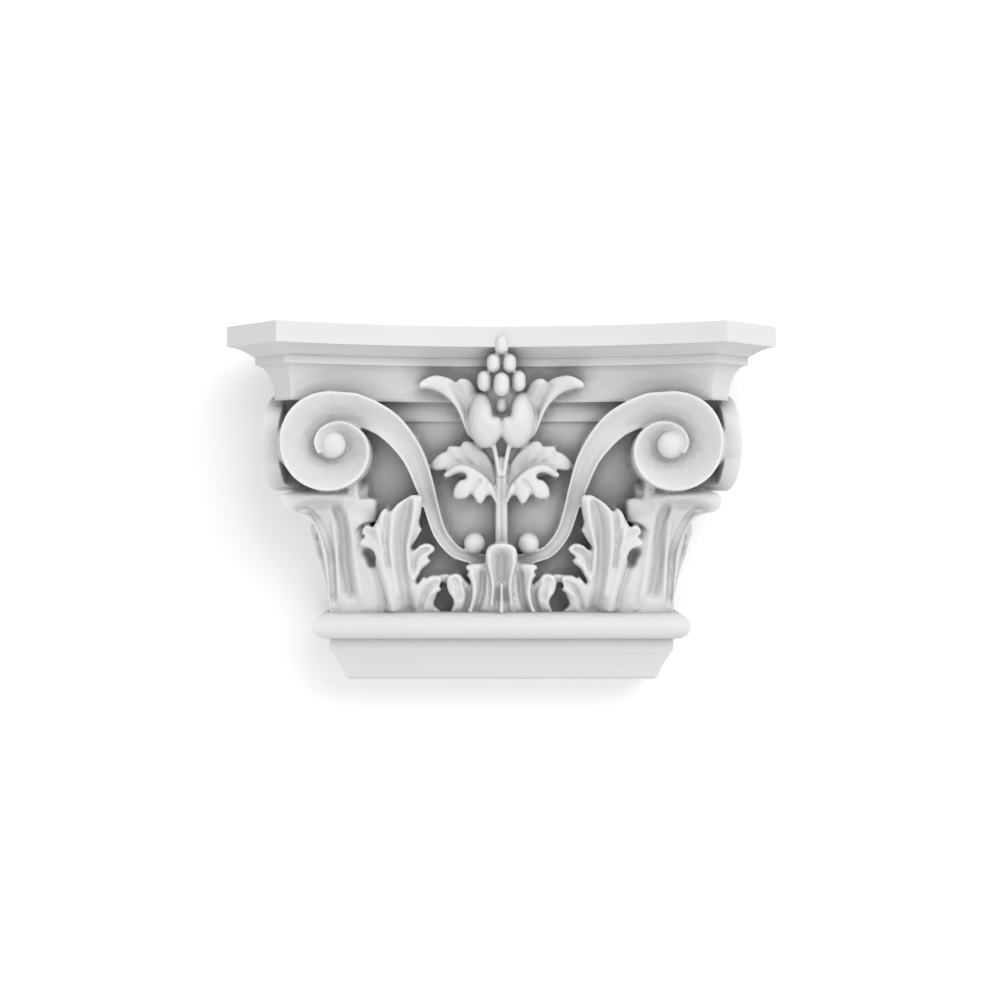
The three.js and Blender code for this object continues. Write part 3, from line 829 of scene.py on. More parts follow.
@dataclass(frozen=True)
class MiddleLeaf:
    """The fan of fluted leaves over the astragal's middle, with a rolled-over one at its centre."""

    leaves: Sequence[Leaf] = (
        Leaf(
            outline=(
                (0, 88.6), (3.5, 88.2), (7, 86.9), (9.1, 84.9), (9.9, 82.4), (10.2, 79.8), (10.1, 77),
                (9.6, 74.1), (8.3, 69.4), (7.4, 65.1), (7, 61.2), (7.1, 56.2), (7.7, 51.9), (8.6, 47.5),
                (9.6, 43),
            ),
            face=(
                (0, 43, 46), (8, 43, 45.5), (0, 58, 49), (7, 56, 49), (0, 72, 52), (9, 72, 52.5),
                (0, 80, 54.5), (10, 80, 54.5), (0, 86, 57.5), (6, 86, 57),
            ),
            lines=(
                Line(((0, 80), (0, 72), (0, 62), (0, 54)), -3.2, 4.6),
                Line(((7.6, 80), (7.6, 74), (5.8, 66), (5.4, 58), (6.8, 49)), 1.6, 1.4),
                Line(((2.8, 59), (3, 52), (4, 45)), -1.4, 1.0),
                Line(((0, 62), (0, 52), (0, 44)), 2.4, 1.6),
            ),
            edge=2.4,
            grain=0.8,
            whole=True,
            places=MIDDLE,
        ),
        Leaf(
            outline=(
                (22.2, 73.9), (19.3, 74.9), (13.7, 75.4), (8, 75.4), (5, 68), (4.7, 58.6), (6, 43),
                (21.6, 43), (20.6, 48.4), (19.5, 53.5), (19.1, 58.6), (19.6, 63), (20.6, 66),
                (22, 68), (20.8, 70.6), (22.6, 72),
            ),
            face=(
                (20, 44, 46), (8, 44, 44), (18.5, 56, 49), (9, 56, 46), (20, 66, 51), (9, 66, 47),
                (21, 73, 53), (10, 74, 49), (15, 74, 52.5),
            ),
            lines=(
                Line(((19.3, 70), (18.0, 64.2), (17.1, 60), (17.1, 55.5), (18.2, 50), (20, 45)), 1.8, 1.7),
                Line(((12.1, 69), (12.3, 64), (12.7, 58.6), (13.7, 53), (16, 45)), -3.4, 2.0),
                Line(((8.8, 72), (9, 64), (9, 56), (10, 46)), 1.2, 1.2),
            ),
            grain=0.8,
        ),
        Leaf(
            outline=(
                (34.3, 66.8), (32, 68.1), (29.3, 68.7), (26.4, 68), (24.4, 66.1), (22.6, 64), (19, 61),
                (16, 57), (17.5, 50.8), (20.1, 43), (32, 43), (31.1, 48.2), (30.7, 51.1), (32, 54),
                (33.7, 56.3), (34.9, 59.7), (35.3, 63.6),
            ),
            face=(
                (31, 44, 45.5), (21, 44, 43), (28, 54, 49), (19, 56, 44.5), (33, 60, 48.5), (34, 66, 50.5),
                (29, 67.5, 51.5), (24, 64, 49), (28, 60, 50),
            ),
            lines=(
                Line(((29.5, 65), (28, 60), (27, 54)), -2.6, 2.2),
                Line(((24.2, 62), (21.9, 58), (21.6, 53), (23.4, 45)), -1.8, 1.5),
                Line(((32.8, 64), (32.4, 59)), -0.8, 1.2),
            ),
            grain=0.8,
        ),
        Leaf(
            outline=(
                (42, 66.9), (38, 68), (34, 68), (31.7, 65), (33, 61.6), (35.4, 62.2), (36.6, 63.2),
                (38.4, 63), (42, 62.6),
            ),
            face=((41, 65, 47), (36.5, 65.5, 45.5), (33, 65, 47.5), (36.8, 63.4, 45)),
            edge=1.6,
            grain=0.8,
        ),
    )

    def shells(self, block: Block) -> list[Shell]:
        """Makes every leaf of the fan."""
        return [shell for leaf in self.leaves for shell in leaf.shells(block)]


@dataclass(frozen=True)
class Flower:
    """The flower in the middle: its stalk, drooping leaves, petals, pair of buds and berries.

    Each berry is across, height and reach, and then its radii across, up and forward.
    """

    leaves: Sequence[Leaf] = (
        Leaf(
            outline=(
                (3, 117.9), (3.6, 128.7), (4.4, 136.6), (6.6, 141.4), (9.7, 145.6), (13.5, 149.6),
                (17.9, 152.5), (21.6, 153.6), (24.8, 152.6), (26.2, 150.3), (30.2, 150.4), (33.9, 150),
                (35.2, 147.3), (38.8, 145.6), (42, 143.1), (44.6, 140.1), (44.9, 137.2), (43.3, 135.2),
                (39.4, 135), (35.9, 135.1), (28.9, 132.5), (20, 128.7), (11.1, 121.1),
            ),
            face=(
                (3, 118, 51), (4.5, 136, 52.5), (12, 147, 54), (20, 150, 54.5), (12, 126, 51), (20, 134, 52),
                (30, 148, 53.5), (27, 136, 52.5), (36, 139, 53.5), (44, 138, 52.5), (36, 146, 53),
            ),
            lines=(
                Line(((26.5, 149.5), (24.5, 144), (20, 139)), -0.8, 1.3),
                Line(((35.2, 146.8), (31, 142), (26, 139)), -0.8, 1.3),
            ),
            edge=1.8,
            grain=0.8,
        ),
        Leaf(
            outline=(
                (2.3, 117.9), (4.6, 124.4), (8.8, 129.9), (13.4, 134.1), (18.6, 137.2), (23.8, 138.8),
                (28.8, 138.5), (32.8, 136.1), (35, 134.4), (36.8, 132.1), (35.5, 130.4), (32.6, 130.8),
                (29.3, 132.3), (25.2, 133.1), (22.4, 131.6), (23, 129.2), (26, 128.6), (29.1, 125.3),
                (30.5, 121.4), (30.2, 118), (27.4, 116.7), (23, 117.3), (20.5, 118.9), (19.2, 120),
                (17.1, 117.4), (15.3, 114.6), (13, 113.8), (11.2, 115.5), (9.7, 118.2), (7.9, 119.3),
                (6, 118), (4.1, 114.7), (2.2, 112.8),
            ),
            face=(
                (2.5, 114, 51.5), (5, 123, 55), (11, 130, 57), (20, 136, 58), (30, 136, 57), (36, 132, 55.5),
                (33, 131.4, 55.5), (23, 130, 59.5), (14, 124, 59), (28, 123, 59.5), (29.5, 119, 58),
                (21, 122, 60), (14, 116, 58), (9, 121, 57.5),
            ),
            lines=(
                Line(((19.2, 120), (17.6, 124), (14, 128)), -1.6, 1.4),
                Line(((8, 119.5), (8.6, 123), (8.2, 127)), -1.2, 1.2),
                Line(((4.6, 121), (9.5, 128), (16.5, 133.6), (25, 136.4), (32, 134.6)), 1.0, 1.8),
            ),
            edge=2.2,
            grain=0.8,
        ),
        Leaf(
            outline=(
                (50.8, 186.1), (51.5, 188.1), (50.5, 189.9), (48.7, 191.2), (45.4, 193), (41.1, 194.1),
                (35.9, 193.4), (31.5, 191.9), (28.9, 190.3), (26.6, 192.2), (22.8, 192.5), (19.1, 190.5),
                (16.3, 186.7), (14.5, 182.4), (12, 177.4), (8, 171.2), (6, 163), (8, 153), (14, 151),
                (19.9, 156), (22.3, 159.3), (24.1, 163.6), (25.9, 168.6), (28.8, 174.5), (32.5, 178.8),
                (36.7, 182.5), (41.1, 184.7), (46.2, 186),
            ),
            face=(
                (8, 156, 55.5), (16, 156, 56), (20, 170, 60), (10, 172, 57), (26, 180, 63), (15, 184, 59.5),
                (20, 190, 62), (30, 187, 65.5), (36, 190, 67.5), (45, 190, 70.5), (50, 188, 71.5),
            ),
            lines=(
                Line(((28.9, 188), (26, 182), (22, 172), (18, 162)), -2.6, 3.2),
                Line(((44, 190), (36, 188), (30, 182), (25.5, 172), (21, 161)), 0.8, 2.4),
            ),
            edge=1.8,
            grain=0.8,
        ),
    )
    stalk: Sequence[Row] = (
        (0, 67.5, 42, 4),
        (0, 90.5, 45, 3.9),
        (0, 109.5, 49, 3.8),
        (0, 125, 53.5, 3.8),
        (0, 136, 57, 3.4),
        (0, 142, 57, 2.2),
    )
    branch: Sequence[Row] = ((1.2, 131, 57, 1.5), (3.2, 142.5, 59, 1.4), (5.6, 154, 61, 1.6))
    core: Sequence[Row] = (
        (0, 132, 48, 6),
        (0, 144, 51, 12),
        (0, 158, 55, 13),
        (0, 176, 60.5, 12),
        (0, 194, 66, 8.5),
        (0, 212, 69, 3.4),
    )
    bud: Leaf = Leaf(
        outline=(
            (12.4, 184.2), (9.2, 183), (6.8, 178.4), (5.8, 173), (5.2, 168.9), (3.4, 168.6), (0.6, 167.4),
            (-1.2, 163.4), (-0.9, 157.6), (2, 153.4), (5.4, 150.2), (9.2, 148.8), (12.6, 149.6),
            (16.6, 152.9), (20, 158.8), (21.4, 166), (20.9, 173), (19, 179), (16, 183.2),
        ),
        face=(
            (12.8, 181, 66.5), (13, 168, 70), (4, 162, 69.5), (9, 153, 66), (17.5, 159, 67),
            (19, 171, 66.5),
        ),
        edge=6.5,
        grain=0.8,
    )
    berries: Sequence[Row] = (
        (0, 213, 70.5, 4.8, 6.3, 5.4),
        (4.9, 201.5, 69, 4.4, 6.2, 5.2),
        (10.6, 190.6, 66.5, 4.6, 6.7, 5.4),
        (0, 188.2, 70.5, 5.0, 7.6, 6),
        (0, 176.5, 59.6, 4.0, 6.0, 4.6),
    )

    def shells(self, block: Block) -> list[Shell]:
        """Makes the stalk, its leaves, the petals, the buds and the core behind the berries.

        Args:
            block: The capital's sizes.

        Returns:
            The closed shells.
        """
        made = []
        for leaf in self.leaves:
            made += leaf.shells(block)
        made += Lobe(self.stalk, crown=0.35, vein=0.4, places=MIDDLE).shells(block)
        made += Lobe(self.branch, crown=0.6, vein=0.0).shells(block)
        made += Lobe(self.core, crown=0.2, vein=0.0, places=MIDDLE).shells(block)
        return made + self.bud.shells(block)

    def berry_spots(self, block: Block) -> tuple[np.ndarray, np.ndarray]:
        """Lists the berries on both halves.

        Args:
            block: The capital's sizes.

        Returns:
            The middle of each berry and its radii along the three axes, in metres.
        """
        middles, radii = [], []
        for across, height, reach, wide, tall, deep in self.berries:
            for place in MIDDLE if across == 0 else FRONT:
                middles.append(block.put(np.array([across, height, reach]), place))
                radii.append(np.array([wide, deep, tall]) * METRES)
        return np.array(middles), np.array(radii)


Carving = Volute | CornerLeaf | SideLeaf | MiddleLeaf | Flower


class NodeTree:
    """Builds the nodes of one tree, with one method for every kind of node."""

    def __init__(self, tree: bpy.types.NodeTree) -> None:
        """Starts on a tree.

        Args:
            tree: The tree that the nodes go into.
        """
        self.tree = tree

    def add(self, kind: str, settings: dict | None = None, **sockets: object) -> bpy.types.Node:
        """Adds one node.

        Args:
            kind: The node's type name.
            settings: The node's own settings, which are set before its sockets.
            **sockets: Values or links of its sockets, by name with spaces as underscores, or by
                number after an i.

        Returns:
            The node.
        """
        node = self.tree.nodes.new(kind)
        for name, value in (settings or {}).items():
            setattr(node, name, value)
        for name, value in sockets.items():
            socket = node.inputs[int(name[1:])] if name[0] == "i" and name[1:].isdigit() else None
            self.feed(socket or node.inputs[name.replace("_", " ")], value)
        return node

    def feed(self, socket: bpy.types.NodeSocket, value: object) -> None:
        """Links a socket to another one, or sets its value."""
        if isinstance(value, Signal):
            value = value.socket
        if isinstance(value, bpy.types.NodeSocket):
            self.tree.links.new(value, socket)
        else:
            socket.default_value = value


class Signal:
    """A number that changes over a surface, for writing shader maths as an expression."""

    def __init__(self, nodes: NodeTree, socket: bpy.types.NodeSocket) -> None:
        """Wraps an output socket of a tree."""
        self.nodes = nodes
        self.socket = socket

    def maths(self, operation: str, first: object, second: object) -> "Signal":
        """Adds a Math node on two values and wraps its result."""
        node = self.nodes.add("ShaderNodeMath", {"operation": operation}, i0=first, i1=second)
        return Signal(self.nodes, node.outputs[0])

    def __add__(self, other: object) -> "Signal":
        """Sum with a number or another signal."""
        return self.maths("ADD", self, other)

    def __mul__(self, other: object) -> "Signal":
        """Product with a number or another signal."""
        return self.maths("MULTIPLY", self, other)

    def __sub__(self, other: object) -> "Signal":
        """Difference to a number or another signal."""
        return self.maths("SUBTRACT", self, other)

    def __rsub__(self, other: object) -> "Signal":
        """Difference of a number to this signal."""
        return self.maths("SUBTRACT", other, self)

    __radd__ = __add__
    __rmul__ = __mul__


@dataclass(frozen=True)
class PaintedShading:
    """Painted shade in the recesses of the casting, and a painted highlight along its edges.

    Each point's share of painted shade is how far the carving around it shuts it in, within reach, along a
    number of lines that start a little off the surface. Its share of painted highlight is how sharply the
    surface bends outward, up to sharp, in one over metres. The cut face at the wall gets neither. Lengths
    are in metres.
    """

    lines: int = 36
    reach: float = 0.026
    start: float = 0.0004
    grazing: float = 0.1
    sharp: float = 480.0
    blur: int = 5
    wall: float = 0.00001

    def directions(self) -> np.ndarray:
        """Directions spread evenly over a sphere."""
        count = np.arange(self.lines) + 0.5
        tilt = np.arccos(1 - 2 * count / self.lines)
        turn = math.pi * (1 + math.sqrt(5)) * count
        return np.column_stack([np.cos(turn) * np.sin(tilt), np.sin(turn) * np.sin(tilt), np.cos(tilt)])

    def lay(self, mesh: bpy.types.Mesh) -> None:
        """Measures the painted shade and the painted highlight at every point and keeps them on the mesh.

        Args:
            mesh: The casting's mesh.
        """
        tree = BVHTree.FromPolygons([v.co for v in mesh.vertices], [p.vertices for p in mesh.polygons])
        normals = np.empty(3 * len(mesh.vertices))
        mesh.vertices.foreach_get("normal", normals)
        ways = self.directions()
        facing = normals.reshape(-1, 3) @ ways.T
        rays = [Vector(way) for way in ways]
        shares = np.zeros(len(mesh.vertices))
        for k, vertex in enumerate(mesh.vertices):
            start = vertex.co + vertex.normal * self.start
            open_to = np.nonzero(facing[k] > self.grazing)[0]
            total = 0.0
            for way in open_to:
                gap = tree.ray_cast(start, rays[way], self.reach)[3]
                if gap is not None:
                    total += facing[k][way] * (1 - gap / self.reach)
            shares[k] = total / max(facing[k][open_to].sum(), 1e-6)
        off_wall = np.array([abs(vertex.co.y) > self.wall for vertex in mesh.vertices])
        mesh.attributes.new(PAINTED_SHADE, "FLOAT", "POINT").data.foreach_set("value", shares * off_wall)
        edge_highlight = self.painted_highlight(mesh, normals.reshape(-1, 3)) * off_wall
        mesh.attributes.new(PAINTED_HIGHLIGHT, "FLOAT", "POINT").data.foreach_set("value", edge_highlight)

    def painted_highlight(self, mesh: bpy.types.Mesh, normals: np.ndarray) -> np.ndarray:
        """How far each point stands out as an edge or ridge, which gets a painted highlight.

        Args:
            mesh: The casting's mesh.
            normals: Its points' normals.

        Returns:
            A share for each point, from 0 on flats and in hollows to 1 on sharp edges.
        """
        points = np.empty(3 * len(mesh.vertices))
        mesh.vertices.foreach_get("co", points)
        points = points.reshape(-1, 3)
        ends = np.empty(2 * len(mesh.edges), dtype=int)
        mesh.edges.foreach_get("vertices", ends)
        first, second = ends.reshape(-1, 2).T
        way = points[second] - points[first]
        span = np.maximum((way**2).sum(axis=1), 1e-12)
        count = np.bincount(np.concatenate([first, second]), minlength=len(points)).clip(1)
        bend = np.zeros(len(points))
        np.add.at(bend, first, -(way * normals[first]).sum(axis=1) / span)
        np.add.at(bend, second, (way * normals[second]).sum(axis=1) / span)
        bend = np.clip(bend / count, -self.sharp, self.sharp)
        for _ in range(self.blur):
            around = np.zeros(len(points))
            np.add.at(around, first, bend[second])
            np.add.at(around, second, bend[first])
            bend = (bend + around / count) / 2
        return np.clip(bend / self.sharp, 0, 1)


@dataclass(frozen=True)
class CastWhite:
    """Matt white primer on a moulded casting, with faint clouding and a fine tooth, and with painted shade
    in the recesses and a painted highlight on the edges.

    A full share of painted shade darkens the white by shade_amount, and by up to patchy more where the
    clouds are dense, but never by more than darkest_shade. dulled and chalky are what the painted shade
    and thin clouds add to the roughness. tooth is the height of the grain in metres.
    """

    name: str = "cast_white"
    cloud_scale: float = 22.0
    grain_scale: float = 900.0
    cloud_share: float = 0.75
    light: tuple[float, float, float, float] = (0.69, 0.69, 0.686, 1.0)
    dark: tuple[float, float, float, float] = (0.64, 0.64, 0.635, 1.0)
    # Painted shade and painted highlight: the grey that the recesses darken towards, and the near white that
    # the edges lighten towards.
    shade_grey: tuple[float, float, float, float] = (0.12, 0.12, 0.12, 1.0)
    edge_highlight: tuple[float, float, float, float] = (0.9, 0.9, 0.895, 1.0)
    shade_amount: float = 1.2
    patchy: float = 0.3
    darkest_shade: float = 0.62
    roughness: float = 0.58
    dulled: float = 0.2
    chalky: float = 0.08
    specular: float = 0.35
    tooth: float = 0.00012
    tooth_strength: float = 0.35

    def make(self) -> bpy.types.Material:
        """Builds the material.

        Returns:
            The node material for the casting.
        """
        material = bpy.data.materials.new(self.name)
        material.use_nodes = True
        nodes = NodeTree(material.node_tree)
        surface = material.node_tree.nodes["Principled BSDF"]
        place = nodes.add("ShaderNodeTexCoord").outputs["Object"]
        cloud_noise = nodes.add("ShaderNodeTexNoise", Vector=place, Scale=self.cloud_scale, Detail=3.0)
        grain_noise = nodes.add("ShaderNodeTexNoise", Vector=place, Scale=self.grain_scale, Detail=2.0)
        clouds = Signal(nodes, cloud_noise.outputs[0])
        grain = Signal(nodes, grain_noise.outputs[0])
        painted_shading = Signal(nodes, nodes.add("ShaderNodeAttribute", {"attribute_name": PAINTED_SHADE}).outputs["Fac"])
        mask = clouds * self.cloud_share + grain * (1 - self.cloud_share)
        tint = nodes.add("ShaderNodeMix", {"data_type": "RGBA"}, i0=mask, i6=self.dark, i7=self.light)
        # Painted shade: the white darkens towards a grey where the carving shuts the surface in.
        shade_amount = painted_shading * (self.shade_amount + clouds * self.patchy)
        depth = shade_amount.maths("MINIMUM", shade_amount, self.darkest_shade)
        shaded = nodes.add(
            "ShaderNodeMix", {"data_type": "RGBA"}, i0=depth, i6=tint.outputs[2], i7=self.shade_grey
        )
        # Painted highlight: the edges and ridges lighten towards a near white.
        edges = nodes.add("ShaderNodeAttribute", {"attribute_name": PAINTED_HIGHLIGHT}).outputs["Fac"]
        highlighted = nodes.add(
            "ShaderNodeMix", {"data_type": "RGBA"}, i0=edges, i6=shaded.outputs[2], i7=self.edge_highlight
        )
        nodes.feed(surface.inputs["Base Color"], highlighted.outputs[2])
        roughness = self.roughness + painted_shading * self.dulled + (1 - clouds) * self.chalky
        nodes.feed(surface.inputs["Roughness"], roughness)
        bump = nodes.add(
            "ShaderNodeBump", Strength=self.tooth_strength, Distance=self.tooth, Height=grain + clouds * 0.5
        )
        nodes.feed(surface.inputs["Normal"], bump.outputs[0])
        surface.inputs["Specular IOR Level"].default_value = self.specular
        return material


@dataclass(frozen=True)
class Seeds:
    """Berries, set on their points by a tree of geometry nodes.

    fullness is how far a berry swells, as a share of its radius, halfway between belt and tip.
    """

    segments: int = 28
    rings: int = 18
    fullness: float = 0.1

    def tree(self, material: bpy.types.Material) -> bpy.types.GeometryNodeTree:
        """Builds the tree that sets one full round seed on every point.

        Args:
            material: The finish of the seeds.

        Returns:
            The tree, with named inputs for the seeds' segments and fullness.
        """
        tree = bpy.data.node_groups.new("seeds", "GeometryNodeTree")
        face = tree.interface
        face.new_socket("Points", in_out="INPUT", socket_type="NodeSocketGeometry")
        face.new_socket("Segments", in_out="INPUT", socket_type="NodeSocketInt")
        face.new_socket("Fullness", in_out="INPUT", socket_type="NodeSocketFloat")
        face.new_socket("Geometry", in_out="OUTPUT", socket_type="NodeSocketGeometry")
        nodes = NodeTree(tree)
        given = nodes.add("NodeGroupInput")
        ball = nodes.add(
            "GeometryNodeMeshUVSphere", Segments=given.outputs["Segments"], Rings=self.rings, Radius=1.0
        )
        spot = nodes.add("ShaderNodeSeparateXYZ", Vector=nodes.add("GeometryNodeInputPosition").outputs[0])
        up = Signal(nodes, spot.outputs["Z"])
        # The product of the two squares peaks at a quarter, which the 4 brings to 1.
        swell = up * up * (1 - up * up) * Signal(nodes, given.outputs["Fullness"]) * 4 + 1
        wide = nodes.add("ShaderNodeCombineXYZ", X=swell, Y=swell, Z=1.0)
        stretched = nodes.add(
            "ShaderNodeVectorMath",
            {"operation": "MULTIPLY"},
            i0=nodes.add("GeometryNodeInputPosition").outputs[0],
            i1=wide.outputs[0],
        )
        full = nodes.add(
            "GeometryNodeSetPosition", Geometry=ball.outputs["Mesh"], Position=stretched.outputs[0]
        )
        radii = nodes.add("GeometryNodeInputNamedAttribute", {"data_type": "FLOAT_VECTOR"}, Name="radii")
        placed = nodes.add(
            "GeometryNodeInstanceOnPoints",
            Points=given.outputs["Points"],
            Instance=full.outputs[0],
            Scale=radii.outputs[0],
        )
        real = nodes.add("GeometryNodeRealizeInstances", Geometry=placed.outputs[0])
        dressed = nodes.add("GeometryNodeSetMaterial", Geometry=real.outputs[0], Material=material)
        nodes.add("NodeGroupOutput", Geometry=dressed.outputs[0])
        return tree

    def mesh(self, middles: np.ndarray, radii: np.ndarray, material: bpy.types.Material) -> bpy.types.Mesh:
        """Makes the seeds.

        Args:
            middles: Where the seeds lie, in metres.
            radii: Their radii along the three axes, in metres.
            material: Their finish.

        Returns:
            A plain mesh that holds them all.
        """
        points = bpy.data.meshes.new("seed points")
        points.from_pydata(middles.tolist(), [], [])
        points.attributes.new("radii", "FLOAT_VECTOR", "POINT").data.foreach_set("vector", radii.ravel())
        holder = bpy.data.objects.new("seed points", points)
        bpy.context.scene.collection.objects.link(holder)
        tree = self.tree(material)
        modifier = holder.modifiers.new("seeds", "NODES")
        modifier.node_group = tree
        values = {"Segments": self.segments, "Fullness": self.fullness}
        for socket in tree.interface.items_tree:
            if socket.name in values and socket.in_out == "INPUT":
                modifier[socket.identifier] = values[socket.name]
        made = bpy.data.meshes.new_from_object(holder.evaluated_get(bpy.context.evaluated_depsgraph_get()))
        bpy.data.objects.remove(holder)
        return made


@dataclass
class Mouldings:
    """The smooth parts of the block: abacus, bell, astragal, neck and lowest moulding.

    They run on behind the wall face, where they are cut off later. spacing is how many points the front
    of a plan has. base is the lowest moulding's profile, as shares of its inset and its height.
    """

    block: Block
    behind: float = 3.0
    spacing: int = 60
    drip_step: float = 0.6
    drip_powers: Row = (0.85, 1.5)
    bell_power: float = 2.4
    base: Sequence[Row] = (
        (0.0, 1.0), (0.12, 0.9), (0.26, 0.76), (0.4, 0.62), (0.52, 0.48), (0.64, 0.34), (0.74, 0.16),
        (0.8, 0.08), (1, 0),
    )

    def square_plan(self, inset: float) -> np.ndarray:
        """Draws the bell's and neck's plan, from one wall end round the front to the other.

        Args:
            inset: How far it lies inside the neck's face.

        Returns:
            The plan's points, in millimetres.
        """
        half, reach = self.block.neck_half - inset, self.block.neck_reach - inset
        side = [(half, y) for y in np.linspace(-reach, self.behind, self.spacing // 5)[1:]]
        front = [(x, -reach) for x in np.linspace(-half, half, self.spacing)]
        return np.array([*((-x, y) for x, y in reversed(side)), *front, *side])

    def abacus_plan(self, inset: float, steps: int = 40) -> np.ndarray:
        """Draws the abacus' plan, hollow along the front and sides and cut at 45 degrees at its corners.

        Args:
            inset: How far it lies inside the abacus' plain face.
            steps: How many points half the front's hollow has.

        Returns:
            The plan's points, in millimetres.
        """
        block = self.block
        corner = block.tip - block.corner_cut
        radius = (corner**2 + block.hollow**2) / (2 * block.hollow)
        centre = block.reach - block.hollow + radius
        cut = corner + block.reach - inset * math.sqrt(2)
        arc = radius + inset
        gap = 2 * (centre - cut)
        meet = (-gap + math.sqrt(gap**2 - 8 * ((centre - cut) ** 2 - arc**2))) / 4
        front = np.linspace(0, meet, steps)
        side = np.linspace(meet, block.diagonal - self.behind, steps // 2)
        half = [(a, centre - math.sqrt(arc**2 - a**2)) for a in front]
        half += [(centre - math.sqrt(arc**2 - a**2) + block.diagonal, a - block.diagonal) for a in side]
        right = [(a, -r) for a, r in half]
        return np.array([(-x, y) for x, y in reversed(right)] + right[1:])

    def stack(self, plan: Plan, profile: Sequence[Row]) -> Shell:
        """Runs a profile round a plan.

        Args:
            plan: Draws the plan for an inset.
            profile: Rows of inset and height, from the top down.

        Returns:
            The closed shell.
        """
        rings = []
        for inset, height in profile:
            flat = plan(inset) * METRES
            level = np.full(len(flat), (height - self.block.height / 2) * METRES)
            rings.append(np.column_stack([flat, level]))
        return loft(np.array(rings), open_plan=True).outward()

    def abacus(self) -> Shell:
        """The abacus, from its top down to its flat underside."""
        block = self.block
        turns = np.linspace(0, math.pi / 2, 15)
        cavetto = [
            (
                block.drip_inset + block.cavetto_inset * math.sin(t),
                block.fillet_foot - block.cavetto * (1 - math.cos(t)),
            )
            for t in turns
        ]
        along, down = self.drip_powers
        slope = [
            ((block.drip_inset - self.drip_step) * s**along, block.fascia_foot - block.drip * s**down)
            for s in np.linspace(0, 1, 9)
        ]
        face = [(0, height) for height in np.linspace(block.height, block.fascia_foot, 6)[:-1]]
        return self.stack(self.abacus_plan, [*face, *slope, (block.drip_inset, block.drip_foot), *cavetto])

    def bell(self) -> Shell:
        """The bell with its lip."""
        block = self.block
        rows = []
        for s in np.linspace(1, 0, 36):
            inset = block.lip_step + (block.bell_sink - block.lip_step) * (1 - s**self.bell_power)
            rows.append((inset, block.bell_foot + (block.lip_foot - block.bell_foot) * s))
        lip = [(0, height) for height in np.linspace(block.abacus_foot + 1, block.lip_foot, 6)]
        return self.stack(self.square_plan, [*lip, *rows, (block.bell_sink, block.bell_foot - 1)])

    def foot(self) -> Shell:
        """The astragal, the neck and the lowest moulding."""
        block = self.block
        radius = block.astragal / 2
        bead = [
            (-math.sin(t) * block.astragal_standing, block.bell_foot - radius + radius * math.cos(t))
            for t in np.linspace(0, math.pi, 25)
        ]
        base = [(block.base_inset * s, block.base * h) for s, h in self.base]
        return self.stack(self.square_plan, [*bead, *base])

    def shells(self) -> list[Shell]:
        """The three smooth shells, which overlap a little where they meet."""
        return [self.abacus(), self.bell(), self.foot()]


